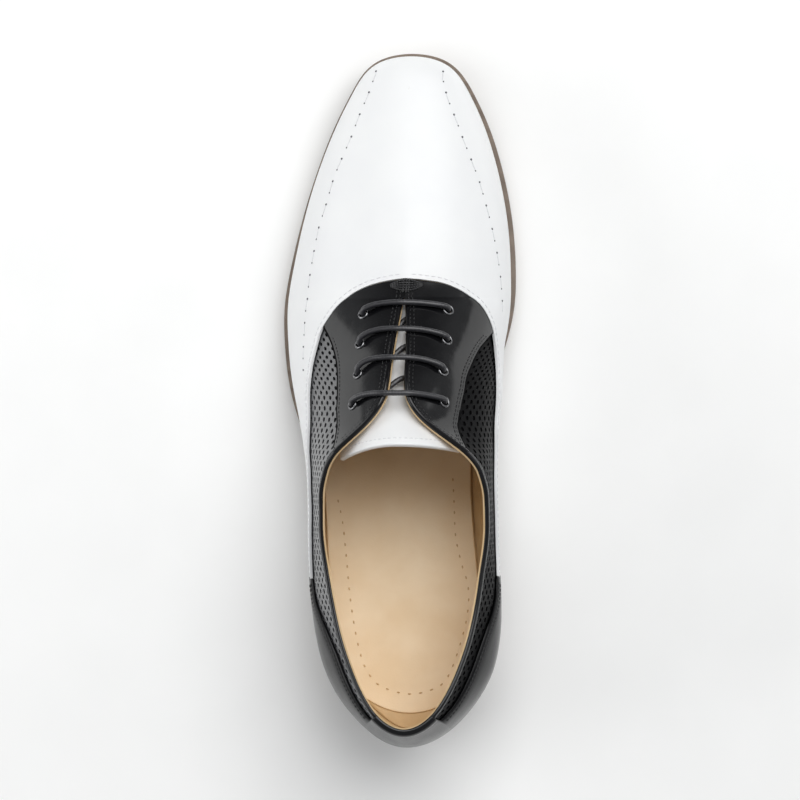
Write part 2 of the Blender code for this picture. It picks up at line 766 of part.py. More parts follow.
def lace_leg(number, medial, rows, bow):
    """Points of the lace from an eyelet to the edge of the slit, bowed towards the toe."""
    station, distance = EYELETS[number][2:] if medial else EYELETS[number][:2]
    run, lift = np.array(rows).T
    run = np.minimum(run, distance)
    turns = turn_of(station + bow * np.sin(run / distance * math.pi / 2.0))
    turns = FULL_TURN - turns if medial else turns
    return skin(turns, 1.0 - share(turns, distance - run), lift)


def lace_path():
    """Points of the lace: over each pair of eyelets as a bar, then under the facings to the next pair."""
    last = len(EYELETS) - 1
    legs = [lace_leg(0, False, LACE_END, 0.0)]
    for number in range(len(EYELETS)):
        legs.append(lace_leg(number, False, LACE_OVER, LACE_BOW))
        legs.append(lace_leg(number, True, LACE_OVER, LACE_BOW)[::-1])
        if number < last:
            half = (EYELETS[number][2] - EYELETS[number + 1][0]) / 2.0
            legs.append(lace_leg(number, True, LACE_UNDER, -half))
            legs.append(lace_leg(number + 1, False, LACE_UNDER, half)[::-1])
    legs.append(lace_leg(last, True, LACE_END, 0.0))
    return np.concatenate(legs)


def make_lace(collection, root, material):
    """Round waxed lace in straight bars, one closed tube."""
    points = lace_path()
    curve = bpy.data.curves.new("lace", "CURVE")
    curve.dimensions = "3D"
    curve.bevel_depth = LACE_RADIUS * MM
    curve.bevel_resolution = 2
    curve.use_fill_caps = True
    spline = curve.splines.new("POLY")
    spline.points.add(len(points) - 1)
    for knot, point in zip(spline.points, points):
        knot.co = (*(point * MM), 1.0)
    curve.materials.append(material)
    return add_piece("lace", curve, collection, root)


def stand_on_origin(pieces, root):
    """Move the root so that the shoe's box stands on the origin."""
    bpy.context.view_layer.update()
    graph = bpy.context.evaluated_depsgraph_get()
    points = []
    for piece in pieces:
        solid = piece.evaluated_get(graph)
        points.extend(vertex.co[:] for vertex in solid.to_mesh().vertices)
        solid.to_mesh_clear()
    low = np.min(points, axis=0)
    high = np.max(points, axis=0)
    root.location = (-(low[0] + high[0]) / 2.0, -(low[1] + high[1]) / 2.0, -low[2])


def main():
    for old in list(bpy.data.objects):
        bpy.data.objects.remove(old, do_unlink=True)
    shoe = bpy.data.collections.new("laced_dress_shoe")
    bpy.context.scene.collection.children.link(shoe)
    cutters = bpy.data.collections.new("cutters")
    bpy.context.scene.collection.children.link(cutters)
    root = bpy.data.objects.new("shoe_root", None)
    shoe.objects.link(root)

    sole_brown = leather("sole_leather", (0.19, 0.14, 0.10), 0.55)
    heel_brown = leather("heel_stack", (0.12, 0.085, 0.06), 0.5)
    tan = leather("tan_lining", (0.66, 0.48, 0.30), 0.6)
    black = leather("black_calf", (0.012, 0.012, 0.014), 0.25)
    white = leather("white_calf", (0.82, 0.82, 0.83), 0.4)
    cord = leather("waxed_cord", (0.012, 0.012, 0.012), 0.45)
    metal = leather("eyelet_metal", (0.6, 0.6, 0.6), 0.25, 1.0)

    upper = make_upper(shoe, root, black)
    pieces = [
        make_outsole(shoe, root, sole_brown),
        make_heel(shoe, root, heel_brown),
        make_insole(shoe, root, tan),
        upper,
        make_tongue(shoe, root, white),
        make_vamp(shoe, root, white),
        make_counter(shoe, root, black),
        make_lace(shoe, root, cord),
    ]
    for medial in (False, True):
        facing = make_facing(shoe, root, black, medial)
        cutter = make_hole_cutter(cutters, root, medial)
        punch(upper, cutter)
        punch(facing, cutter)
        pieces += [facing, make_binding(shoe, root, black, medial)]
        pieces += [make_eyelet(shoe, root, metal, number, medial) for number in range(len(EYELETS))]
    stand_on_origin(pieces, root)


main()
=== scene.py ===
# %% [markdown]
# # A two-tone laced dress shoe
# The object is a left shoe with closed lacing: a white calf vamp, black calf facings, perforated black
# quarters, a black heel counter and a leather sole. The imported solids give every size. They could be
# shown as they are, but they are faceted, so each one is made again here on the same curves, finer,
# and the thread, the holes and the finishes that the solids leave out are added.

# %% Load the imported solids
import math

import bmesh
import bpy
import numpy as np
from mathutils import Matrix, Vector


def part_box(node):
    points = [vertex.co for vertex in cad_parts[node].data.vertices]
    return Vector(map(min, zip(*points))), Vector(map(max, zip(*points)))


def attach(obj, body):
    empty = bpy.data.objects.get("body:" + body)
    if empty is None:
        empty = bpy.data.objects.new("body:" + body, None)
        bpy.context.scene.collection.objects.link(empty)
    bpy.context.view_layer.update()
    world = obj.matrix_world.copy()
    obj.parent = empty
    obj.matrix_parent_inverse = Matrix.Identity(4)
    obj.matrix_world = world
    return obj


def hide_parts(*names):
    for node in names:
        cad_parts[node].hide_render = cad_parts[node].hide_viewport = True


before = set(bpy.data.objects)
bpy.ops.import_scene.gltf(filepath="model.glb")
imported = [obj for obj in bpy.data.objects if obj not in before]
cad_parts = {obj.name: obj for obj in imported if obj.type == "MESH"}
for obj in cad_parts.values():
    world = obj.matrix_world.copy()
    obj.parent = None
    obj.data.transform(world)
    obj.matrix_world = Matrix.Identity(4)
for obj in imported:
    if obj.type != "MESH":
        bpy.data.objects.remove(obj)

MM = 0.001
FULL_TURN = 2.0 * math.pi
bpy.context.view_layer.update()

# %% [markdown]
# ## The last
# A shoemaker pulls leather over a last, a foot-shaped form. Here the last is a set of tables in
# millimetres, the same ones that the solids were built from, so that both have one shape. A station is
# a distance from the back of the heel towards the toe. A turn goes round the sole: 0 at the toe tip,
# pi at the back of the heel, the outer side before it and the inner side after it.

# %% Tables of the sole and of the side walls
TOE_TIP, HEEL_BACK = 301.0, 7.0
SOLE_PLAN = (
    # station, lateral, medial
    (13.0, 13.8, 15.2), (20.0, 21.0, 22.4), (27.0, 26.4, 27.5), (40.0, 32.6, 33.2), (60.0, 36.7, 34.0),
    (85.0, 39.3, 31.8), (107.0, 41.0, 30.0), (128.0, 44.8, 30.2), (150.0, 52.0, 33.2), (164.0, 54.9, 36.8),
    (178.0, 56.2, 41.0), (192.0, 56.1, 43.9), (207.0, 53.7, 44.5), (228.0, 48.7, 43.1), (249.0, 42.2, 39.3),
    (270.0, 33.8, 32.9), (284.0, 26.6, 26.5), (291.5, 22.0, 22.0), (298.4, 13.6, 13.6),
)
SOLE_BOTTOM = (
    # station, height
    (7.0, 26.0), (40.0, 24.3), (70.0, 22.2), (100.0, 16.5), (130.0, 8.8), (155.0, 3.2), (180.0, 0.0),
    (218.0, 0.0), (240.0, 1.2), (270.0, 4.6), (301.0, 10.5),
)
SIDE_WALL = (
    # station, inset, lateral swell, medial swell, lateral height, medial height
    (7.0, 2.0, 4.2, 4.2, 19.0, 19.0), (40.0, 2.1, 4.1, 4.6, 19.0, 20.0), (60.0, 2.4, 4.5, 6.5, 18.0, 22.0),
    (85.0, 2.5, 4.6, 8.1, 17.0, 26.0), (107.0, 2.7, 3.7, 9.5, 16.0, 29.0), (128.0, 3.3, 2.2, 9.8, 16.0, 30.0),
    (150.0, 4.8, 0.8, 9.6, 16.0, 27.0), (178.0, 5.4, 1.0, 3.9, 15.0, 20.0),
    (207.0, 5.4, 1.4, 2.3, 14.0, 15.0), (250.0, 5.4, 2.2, 2.2, 12.0, 12.0),
    (285.0, 5.2, 2.2, 2.2, 10.0, 10.0), (301.0, 5.0, 1.8, 1.8, 9.0, 9.0),
)
print("rows:", len(SOLE_PLAN), len(SOLE_BOTTOM), len(SIDE_WALL))

# %% Tables of the upper edge and of the opening
TOP_EDGE = (
    # station, lateral height, medial height, ridge offset, lean in degrees, fullness on both sides
    (12.2, 93.0, 93.0, 0.8, 80.0, 0.36, 0.36), (24.0, 90.0, 90.5, 0.8, 80.0, 0.36, 0.36),
    (42.0, 83.5, 85.0, 0.7, 80.0, 0.34, 0.34), (65.0, 78.2, 81.0, 0.4, 79.0, 0.33, 0.33),
    (85.0, 76.6, 80.0, 0.1, 79.0, 0.33, 0.33), (104.0, 78.6, 82.0, 0.1, 78.0, 0.33, 0.33),
    (120.0, 85.0, 87.0, 0.0, 72.0, 0.33, 0.34), (130.0, 90.6, 91.6, -0.8, 60.0, 0.33, 0.36),
    (138.0, 94.8, 95.2, -1.7, 45.0, 0.33, 0.39), (146.0, 97.0, 97.2, -2.4, 32.0, 0.32, 0.42),
    (153.0, 95.4, 95.4, -2.4, 24.0, 0.32, 0.44), (175.0, 80.8, 80.8, -1.3, 15.0, 0.33, 0.49),
    (194.0, 69.0, 69.0, -0.3, 9.0, 0.40, 0.53), (204.0, 63.6, 63.6, 0.0, 6.0, 0.46, 0.55),
    (230.0, 53.0, 53.0, 0.0, 2.0, 0.56, 0.60), (250.0, 47.0, 47.0, 0.0, 0.0, 0.60, 0.60),
    (270.0, 41.4, 41.4, 0.0, 0.0, 0.60, 0.60), (284.0, 36.6, 36.6, 0.0, 0.0, 0.60, 0.60),
)
OPENING = (
    # station, half width of the collar and then of the lacing slit
    (12.2, 0.0), (20.0, 13.3), (37.7, 22.8), (54.6, 28.2), (75.0, 32.1), (98.0, 34.9), (110.0, 34.7),
    (120.5, 32.5), (130.2, 26.6), (133.6, 22.0), (137.6, 15.9), (143.3, 9.7), (149.0, 5.5), (153.0, 3.6),
    (170.0, 2.9), (184.0, 1.7), (193.5, 0.0),
)
print("rows:", len(TOP_EDGE), len(OPENING))

# %% [markdown]
# ## Curves through the tables
# A table gives a few rows, and the last needs a value everywhere. A straight line between rows would
# show as a fold in glossy leather, and a plain cubic would swing past the rows. So each column goes
# through a cubic that never overshoots, and the outline goes through one closed cubic.

# %% Smooth values between the rows
def steady(rows, query):
    """All columns of a table at the queried stations, through a cubic that never overshoots a row."""
    rows = np.asarray(rows, dtype=float)
    at, values = rows[:, 0], rows[:, 1:]
    step = np.diff(at)[:, None]
    rate = np.diff(values, axis=0) / step
    product = rate[1:] * rate[:-1]
    total = np.where(product > 0.0, rate[1:] + rate[:-1], 1.0)
    slope = np.vstack([rate[:1], np.where(product > 0.0, 2.0 * product / total, 0.0), rate[-1:]])
    query = np.clip(np.asarray(query, dtype=float), at[0], at[-1])
    low = np.clip(np.searchsorted(at, query) - 1, 0, len(at) - 2)
    t = ((query - at[low]) / step[low, 0])[..., None]
    start = values[low] * (1.0 + 2.0 * t) + slope[low] * step[low] * t
    stop = values[low + 1] * (3.0 - 2.0 * t) - slope[low + 1] * step[low] * (1.0 - t)
    return start * (1.0 - t) ** 2 + stop * t**2


def station_of(turn):
    """Station of the rib at a turn round the sole."""
    return (TOE_TIP + HEEL_BACK) / 2.0 + (TOE_TIP - HEEL_BACK) / 2.0 * np.cos(turn)


def turn_of(station):
    """Turn of a station, on the lateral side."""
    ratio = (2.0 * np.asarray(station) - TOE_TIP - HEEL_BACK) / (TOE_TIP - HEEL_BACK)
    return np.arccos(np.clip(ratio, -1.0, 1.0))


print("height of the sole under the heel:", float(steady(SOLE_BOTTOM, 40.0)[0]), "mm")

# %% Outline of the sole
SOLE_THICKNESS, NUDGE = 5.0, 0.004


def unit(vectors):
    """The same directions, each with length 1."""
    return vectors / np.linalg.norm(vectors, axis=-1, keepdims=True)


def closed_spline(knots, values, query):
    """Smooth closed curve through the values at the knots, which go once round from 0 to a full turn."""
    count = len(knots)
    step = np.diff(np.append(knots, knots[0] + FULL_TURN))
    rate = (np.roll(values, -1) - values) / step
    system = np.zeros((count, count))
    for k in range(count):
        system[k, k - 1], system[k, (k + 1) % count] = step[k - 1], step[k]
        system[k, k] = 2.0 * (step[k - 1] + step[k])
    bend = np.linalg.solve(system, 6.0 * (rate - np.roll(rate, 1)))
    query = np.mod(query, FULL_TURN)
    k = np.searchsorted(knots, query, side="right") - 1
    after = (k + 1) % count
    b = (query - knots[k]) / step[k]
    a = 1.0 - b
    curve = ((a**3 - a) * bend[k] + (b**3 - b) * bend[after]) * step[k] ** 2 / 6.0
    return a * values[k] + b * values[after] + curve


plan_rows = np.array(SOLE_PLAN)
plan_turns = turn_of(plan_rows[:, 0])
lateral_knots = sorted(zip(plan_turns, -plan_rows[:, 1]))
medial_knots = sorted(zip(FULL_TURN - plan_turns, plan_rows[:, 2]))
OUTLINE = np.array([(0.0, 0.0), *lateral_knots, (math.pi, 0.0), *medial_knots]).T


def sole_edge(turn, inset=0.0):
    """Plan point of the sole's edge at a turn, moved inwards, and the outward direction there."""

    def edge(at):
        return np.stack([closed_spline(*OUTLINE, at), station_of(at)], axis=-1)

    along = unit(edge(turn + NUDGE) - edge(turn - NUDGE))
    outward = np.stack([along[..., 1], -along[..., 0]], axis=-1)
    return edge(turn) - outward * np.asarray(inset)[..., None], outward


def sole_top(station):
    """Height of the sole's upper face."""
    return steady(SOLE_BOTTOM, station)[..., 0] + SOLE_THICKNESS


dense_edge, _ = sole_edge(np.linspace(0.0, FULL_TURN, 721))
print("width of the sole:", round(float(np.ptp(dense_edge[:, 0])), 1), "mm")

# %% [markdown]
# ## From the last to the frame
# The tables have their own zero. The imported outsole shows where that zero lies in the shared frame:
# its lowest corner is the back of the heel and the widest place of the outer side. One shift then
# carries every point over, so nothing has to be fitted by eye.

# %% Shift into the frame
outsole_low, outsole_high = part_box("outsole")
SHIFT = np.array([
    outsole_low.x / MM - dense_edge[:, 0].min(),
    outsole_low.y / MM - HEEL_BACK,
    outsole_low.z / MM,
])


def to_frame(points):
    """Places in the frame, in metres, of points in the last's own millimetres."""
    return (np.asarray(points) + SHIFT) * MM


print("shift:", SHIFT.round(2), "mm, length left over:",
      round(float(outsole_high.y / MM - SHIFT[1] - TOE_TIP), 2), "mm")

# %% [markdown]
# ## Ribs of the upper
# The upper is a smooth skin over ribs that rise from the sole to the topline. Each rib is two Bezier
# curves: from the foot out to the widest place, then up and over to the edge. Working that out for
# every vertex would be slow, so the skin is measured once on a fine net, with its normals, and all
# leather pieces read their places from that net. Where the lacing slit opens into the collar, ribs
# turn quickly, so the net is evened out there, as stretched leather bridges small hollows.

# %% Top edge and opening
TOE_FROM, TOE_SETBACK, HEEL_TO, HEEL_SETBACK = 230.0, 17.0, 70.0, 5.2


def edge_station(station):
    """Station where the rib of a station ends at the top: set back over the toe, forwards at the heel."""
    toe = np.clip((station - TOE_FROM) / (TOE_TIP - TOE_FROM), 0.0, 1.0)
    heel = np.clip((HEEL_TO - station) / (HEEL_TO - HEEL_BACK), 0.0, 1.0)
    return station - TOE_SETBACK * toe**2 + HEEL_SETBACK * heel**2


def half_opening(station):
    """Half width of the collar or of the slit. Squares are interpolated, so both ends are round."""
    rows = np.array(OPENING)
    rows[:, 1] **= 2
    width = np.sqrt(np.maximum(steady(rows, station)[..., 0], 0.0))
    return np.where(station >= rows[-1, 0], 0.0, width)


print("half the collar at its widest:", half_opening(np.arange(20.0, 130.0)).max().round(1), "mm")

# %% Control points of a rib
GAP, FOOT_OUT, FOOT_UP, WIDE_DOWN = 0.3, 0.45, 0.22, 0.5


def ribs(turn):
    """Seven control points for each rib: foot, two handles, widest place, two handles, top edge."""
    medial = np.mod(turn, FULL_TURN) > math.pi
    station = station_of(turn)
    inset, swell_l, swell_m, height_l, height_m = np.moveaxis(steady(SIDE_WALL, station), -1, 0)
    swell = np.where(medial, swell_m, swell_l)[..., None]
    height = np.where(medial, height_m, height_l)[..., None]
    plan, outward = sole_edge(turn, inset)
    foot = np.concatenate([plan, (sole_top(plan[..., 1]) + GAP)[..., None]], axis=-1)
    out = np.concatenate([outward, np.zeros_like(outward[..., :1])], axis=-1)
    up = np.zeros_like(foot) + (0.0, 0.0, 1.0)
    wide = foot + out * swell + up * height
    low_handle = foot + out * FOOT_OUT * swell + up * FOOT_UP * height

    top = edge_station(station)
    edge_l, edge_m, ridge, lean, full_l, full_m = np.moveaxis(steady(TOP_EDGE, top), -1, 0)
    fullness = np.where(medial, full_m, full_l)
    side = np.where(medial, 1.0, -1.0)
    edge = np.stack([ridge + side * half_opening(top), top, np.where(medial, edge_m, edge_l)], axis=-1)
    slope = edge_l - steady(TOP_EDGE, top - 1.0)[..., 0]
    across = (wide - edge) * (1.0, 1.0, 0.0)
    span = np.linalg.norm(across, axis=-1)
    across /= span[..., None]
    rise = edge[..., 2] - wide[..., 2]
    lean = np.radians(lean)
    reach = fullness * (np.cos(lean) * span + np.sin(lean) * rise)
    fall = -np.sin(lean) + np.where(half_opening(top) > 0.0, 0.0, slope) * across[..., 1]
    over = edge + (across * np.cos(lean)[..., None] + up * fall[..., None]) * reach[..., None]
    return np.stack([foot, low_handle, wide - up * WIDE_DOWN * height, wide,
                     wide + up * (fullness * rise)[..., None], over, edge], axis=-2)


print("topline over the waist:", ribs(np.array(2.0))[-1].round(1), "mm")

# %% Net of the skin
TURN_STEPS, RISE_STEPS, LOW_POINTS, HIGH_POINTS = 1440, 240, 25, 73
EVEN_SPAN, EVEN_PASSES = (122.0, 132.0, 158.0, 170.0), 90
net_turns = np.linspace(0.0, FULL_TURN, TURN_STEPS + 1)
net_ribs = ribs(net_turns)


def bezier(points, count):
    """Points along the Bezier curve of four control points, for all ribs at once."""
    t = np.linspace(0.0, 1.0, count)[:, None]
    weights = ((1.0 - t) ** 3, 3.0 * t * (1.0 - t) ** 2, 3.0 * t**2 * (1.0 - t), t**3)
    return sum(weight * points[:, k, None] for k, weight in enumerate(weights))


def run_along(line):
    """Length along a line at each of its points."""
    return np.append(0.0, np.cumsum(np.linalg.norm(np.diff(line, axis=0), axis=1)))


def read_at(spots, run, values):
    """Rows of values at places along a run."""
    return np.column_stack([np.interp(spots, run, axis) for axis in values.T])


rib_lines = np.concatenate(
    [bezier(net_ribs[:, :4], LOW_POINTS)[:, :-1], bezier(net_ribs[:, 3:], HIGH_POINTS)], axis=1)
rib_runs = [run_along(line) for line in rib_lines]
RIB_LENGTH = np.array([run[-1] for run in rib_runs])
FACE = np.array([read_at(np.linspace(0.0, run[-1], RISE_STEPS + 1), run, line)
                 for line, run in zip(rib_lines, rib_runs)])

evened = FACE[:-1]
for _ in range(EVEN_PASSES):
    evened = (np.roll(evened, 1, axis=0) + 2.0 * evened + np.roll(evened, -1, axis=0)) / 4.0
weight = np.interp(station_of(net_turns[:-1]), EVEN_SPAN, (0.0, 1.0, 1.0, 0.0))[:, None, None]
evening = weight * (evened - FACE[:-1])
FACE[:-1] += evening
print("evened out by up to", round(float(np.abs(evening).max()), 2), "mm")
print("net:", FACE.shape, "ribs from", RIB_LENGTH.min().round(1), "to", RIB_LENGTH.max().round(1), "mm")

# %% Normals of the net, and a reader for it
round_it = np.roll(FACE[:-1], -1, axis=0) - np.roll(FACE[:-1], 1, axis=0)
UPWARD = unit(np.gradient(FACE, axis=1))
NORMAL = np.cross(np.concatenate([round_it, round_it[:1]]), UPWARD)
NORMAL[half_opening(edge_station(station_of(net_turns))) == 0.0, -1, 0] = 0.0
NORMAL = unit(NORMAL)


def skin(turn, rise, lift=0.0, over=0.0):
    """Points of the skin at a turn and a share of the rib, moved outwards, and upwards past the edge."""
    turn, rise = np.broadcast_arrays(np.asarray(turn, dtype=float), np.asarray(rise, dtype=float))
    a = np.mod(turn, FULL_TURN) / FULL_TURN * TURN_STEPS
    b = np.clip(rise, 0.0, 1.0) * RISE_STEPS
    i = np.minimum(a.astype(int), TURN_STEPS - 1)
    j = np.minimum(b.astype(int), RISE_STEPS - 1)
    s, t = (a - i)[..., None], (b - j)[..., None]

    def read(net):
        below = net[i, j] * (1.0 - s) + net[i + 1, j] * s
        above = net[i, j + 1] * (1.0 - s) + net[i + 1, j + 1] * s
        return below * (1.0 - t) + above * t

    moved = read(NORMAL) * np.asarray(lift)[..., None] + read(UPWARD) * np.asarray(over)[..., None]
    return read(FACE) + moved


def share(turn, distance):
    """A distance along the rib as a share of its length."""
    return distance / np.interp(np.mod(turn, FULL_TURN), net_turns, RIB_LENGTH)


print("middle of the vamp:", skin(turn_of(240.0), 1.0).round(1), "mm")

# %% [markdown]
# ## Building a piece
# A leather piece is a sheet that is bent over the skin. It could be modelled by pulling points by hand,
# but a grid whose corners are carried to the skin keeps even faces and an exact fit. A Solidify modifier
# then gives the sheet its thickness, and a Bevel modifier rounds its cut edge as a skiving knife does.

# %% Sheet
WELD = 0.01


def sheet(columns, rows, place):
    """A grid of faces whose corners go to place(column, row), given in millimetres of the last."""
    bm = bmesh.new()
    bmesh.ops.create_grid(bm, x_segments=columns, y_segments=rows, size=1.0)
    spots = np.array([vertex.co[:2] for vertex in bm.verts]).T
    column, row = np.rint((spots + 1.0) / 2.0 * [[columns], [rows]]).astype(int)
    for vertex, point in zip(bm.verts, to_frame(place(column, row))):
        vertex.co = point
    bmesh.ops.remove_doubles(bm, verts=bm.verts, dist=WELD * MM)
    bmesh.ops.dissolve_degenerate(bm, edges=bm.edges, dist=WELD * MM)
    return bm


def close_ends(bm):
    """Fill the open ends of a sheet that is bent to a tube, and turn all faces outwards."""
    bmesh.ops.holes_fill(bm, edges=[edge for edge in bm.edges if edge.is_boundary], sides=0)
    bmesh.ops.recalc_face_normals(bm, faces=bm.faces)
    return bm


print("welding distance:", WELD, "mm")

# %% Piece and thickness
EDGE_SEGMENTS, EDGE_ANGLE = 3, 50.0


def add_object(name, bm, *materials):
    """Object for a finished mesh."""
    mesh = bpy.data.meshes.new(name)
    bm.to_mesh(mesh)
    bm.free()
    for material in materials:
        mesh.materials.append(material)
    mesh.shade_smooth()
    made = bpy.data.objects.new(name, mesh)
    bpy.context.scene.collection.objects.link(made)
    print(name + ":", len(mesh.polygons), "faces")
    return made


def add_piece(name, bm, materials, slot, *stands_for):
    """Piece that rides on the shoe, in place of the solids that it stands for."""
    piece = add_object(name, bm, *materials)
    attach(piece, "root")
    if stands_for:
        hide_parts(*stands_for)
    return piece


def round_edge(piece, width):
    """Round the square edges of a piece."""
    edge = piece.modifiers.new("rounded_edge", "BEVEL")
    edge.width, edge.segments = width * MM, EDGE_SEGMENTS
    edge.limit_method, edge.angle_limit = "ANGLE", math.radians(EDGE_ANGLE)


def thicken(piece, thickness, outwards, rounding, back=0, even=True):
    """Thickness of the leather to one side of a sheet, with its cut edge rounded."""
    solid = piece.modifiers.new("thickness", "SOLIDIFY")
    solid.thickness, solid.offset = thickness * MM, 1.0 if outwards else -1.0
    solid.use_even_offset, solid.use_quality_normals = even, True
    solid.material_offset = back
    round_edge(piece, rounding)


print("edges sharper than", EDGE_ANGLE, "degrees are rounded in", EDGE_SEGMENTS, "segments")

# %% [markdown]
# ## Finishes
# Every surface gets a finish made of nodes. Colours are written as the hex values that a picture shows,
# and one function turns them to the linear values that a shader wants. A second one adds a node with
# its settings and its links. All finishes share one recipe: a pattern mixes two colours, the roughness
# follows it, and reliefs are added as bump. So each finish only says what is its own.

# %% Colour and node helpers
def linear(code):
    """Linear colour of an sRGB hex value."""
    parts = [int(code[k:k + 2], 16) / 255.0 for k in (1, 3, 5)]
    return (*(c / 12.92 if c <= 0.04045 else ((c + 0.055) / 1.055) ** 2.4 for c in parts), 1.0)


def add(tree, kind, inputs=None, **settings):
    """A new node with its settings; an input is a value, or the socket that it is linked to."""
    node = tree.nodes.new(kind)
    for key, value in settings.items():
        setattr(node, key, value)
    for socket, value in (inputs or {}).items():
        if isinstance(value, bpy.types.NodeSocket):
            tree.links.new(value, node.inputs[socket])
        else:
            node.inputs[socket].default_value = value
    return node


def per_metre(millimetres):
    """Scale of a pattern that repeats after so many millimetres."""
    return 1.0 / (millimetres * MM)


print("mid grey is", round(linear("#808080")[0], 3))

# %% Recipe of a finish
def start(name):
    """A new material, its empty tree, and the place on the shoe that its patterns read."""
    material = bpy.data.materials.new(name)
    material.use_nodes = True
    tree = material.node_tree
    tree.nodes.clear()
    return material, tree, add(tree, "ShaderNodeTexCoord").outputs["Object"]


def shade(tree, pattern, colours, gloss, stops=(0.3, 0.7), reliefs=(), worn=None, spread=(0.0, 1.0),
          **shader):
    """A shader whose colour follows a pattern, and whose gloss follows it too, or the worn one.

    Gloss is one roughness or two. Each relief is a height, or None for the colour, and a depth in mm.
    Other sockets of the shader are given by name, with _ for a space.
    """
    ramp = add(tree, "ShaderNodeValToRGB", {"Fac": pattern})
    for stop, at, code in zip(ramp.color_ramp.elements, stops, colours):
        stop.position, stop.color = at, linear(code)
    if isinstance(gloss, tuple):
        gloss = add(tree, "ShaderNodeMapRange", {
            "Value": pattern if worn is None else worn, "From Min": spread[0], "From Max": spread[1],
            "To Min": gloss[0], "To Max": gloss[1]}).outputs["Result"]
    inputs = {"Base Color": ramp.outputs["Color"], "Roughness": gloss}
    for height, depth in reliefs:
        bump = {"Height": ramp.outputs["Color"] if height is None else height, "Distance": depth * MM}
        if "Normal" in inputs:
            bump["Normal"] = inputs["Normal"]
        inputs["Normal"] = add(tree, "ShaderNodeBump", bump).outputs["Normal"]
    inputs.update((key.replace("_", " "), value) for key, value in shader.items())
    surface = add(tree, "ShaderNodeBsdfPrincipled", inputs)
    add(tree, "ShaderNodeOutputMaterial", {"Surface": surface.outputs["BSDF"]})


def plain_finish(name, grain, detail, colours, gloss, depth=None, **more):
    """A finish with one noise, whose grains are so many millimetres wide, and perhaps some deep."""
    material, tree, place = start(name)
    noise = add(tree, "ShaderNodeTexNoise", {"Vector": place, "Scale": per_metre(grain), "Detail": detail})
    reliefs = [(noise.outputs["Fac"], depth)] if depth else []
    shade(tree, noise.outputs["Fac"], colours, gloss, reliefs=reliefs, **more)
    return material


print("a pattern of 1 mm repeats", round(per_metre(1.0)), "times in a metre")

# %% [markdown]
# ## Leather
# Calf leather is a finely pored skin. Its colour drifts a little, its gloss is uneven, and its pores and
# slow waves break up reflections. A painted picture of leather would repeat and would need a map, so
# the recipe mixes two colours by a slow noise, and adds pores from a cell pattern and waves from a
# noise as bump. Each finish below is this recipe with its own colours, gloss and pore size.

# %% Leather recipe
def leather(name, colours, gloss, pore, wave, coat=(0.0, 0.1), specular=0.5, drift=9.0):
    """Leather with drifting colour; gloss is two roughness values, pore and wave are size and depth in mm."""
    material, tree, place = start(name)
    slow, waves = (add(tree, "ShaderNodeTexNoise", {
        "Vector": place, "Scale": per_metre(size), "Detail": detail}).outputs["Fac"]
        for size, detail in ((drift, 3.0), (wave[0], 2.0)))
    pores = add(tree, "ShaderNodeTexVoronoi", {"Vector": place, "Scale": per_metre(pore[0])})
    reliefs = [(waves, wave[1]), (pores.outputs["Distance"], pore[1])]
    shade(tree, slow, colours, gloss, (0.35, 0.65), reliefs, spread=(0.3, 0.7),
          Specular_IOR_Level=specular, Coat_Weight=coat[0], Coat_Roughness=coat[1])
    return material


# Pigmented smooth calf: an even white with a soft sheen, its pores drawn coarser than real so that they show
white_calf = leather(
    "white_smooth_calf", ("#e7e8e9", "#ebecec"), (0.36, 0.42), (0.7, 0.01), (14.0, 0.01), drift=30.0)
# Polished black calf: close to patent, so that lamps show as broad panels with slightly ragged borders
black_calf = leather(
    "black_polished_calf", ("#08080a", "#0e0e10"), (0.12, 0.18), (0.6, 0.003), (10.0, 0.15), (0.35, 0.06))
# Black binding calf: the same hide, softer and less polished, with a narrow light where it is rolled
black_binding = leather(
    "black_binding_calf", ("#08080a", "#0d0d0f"), (0.13, 0.18), (0.6, 0.003), (9.0, 0.03), specular=0.4)
# Moulded black calf: polished, so that it goes from black on its rolled edge to pale where it turns away
black_moulded = leather(
    "black_moulded_calf", ("#08080a", "#0d0d0f"), (0.16, 0.24), (0.6, 0.004), (14.0, 0.04), specular=0.22)
# Punched black calf: brushed grain that turns grey where it faces the light; its colour is also raised to
# dark grey as painted sheen, the lit copy of the punched calf
black_punched = leather(
    "black_punched_calf", ("#2f3033", "#3c3d40"), (0.42, 0.52), (0.6, 0.012), (9.0, 0.04), (0.95, 0.4), 1.0)
# A shaded copy of the punched calf for the inner side: near black and with almost no shine, painted shade
black_punched_painted_shade = leather(
    "black_punched_calf_painted_shade", ("#070708", "#0c0c0e"), (0.4, 0.5), (0.6, 0.012), (9.0, 0.04), specular=0.05)
# Backing cloth under the punched holes: matt and nearly black
# Matt and nearly black: the floor of the punched holes, and a painted shade line along the rear edge of each
# facing
hole_floor_and_painted_edge_shade = leather(
    "black_hole_floor_and_painted_edge_shade", ("#020203", "#050506"), (0.8, 0.9), (0.5, 0.02), (5.0, 0.02), specular=0.1)
print("leathers:", [material.name for material in bpy.data.materials if material.name.endswith("_calf")])

# %% [markdown]
# ## Outsole
# The outsole is a plate of firm leather, cut square and waxed at its edge, with an arch under the waist
# and a spring at the toe. A leaf across the outline is laid along the underside and raised straight up,
# as a cutter goes through a hide, and its rim gets a small round.

# %% Leaf and block
def leaf(turns, rows, inset_of, height_of, hollow=0.0):
    """A flat leaf whose columns cross the shoe from edge to edge; its front may be hollow."""

    def place(column, row):
        turn, across = turns[column], row / rows
        inset = inset_of(station_of(turn))
        left, right = sole_edge(turn, inset)[0], sole_edge(FULL_TURN - turn, inset)[0]
        plan = left + (right - left) * across[:, None]
        front = np.clip((plan[:, 1] - HEEL_BACK) / (station_of(turns[0]) - HEEL_BACK), 0.0, 1.0)
        plan[:, 1] -= hollow * 4.0 * across * (1.0 - across) * front**3
        return np.column_stack([plan, height_of(plan[:, 1])])

    return sheet(len(turns) - 1, rows, place)


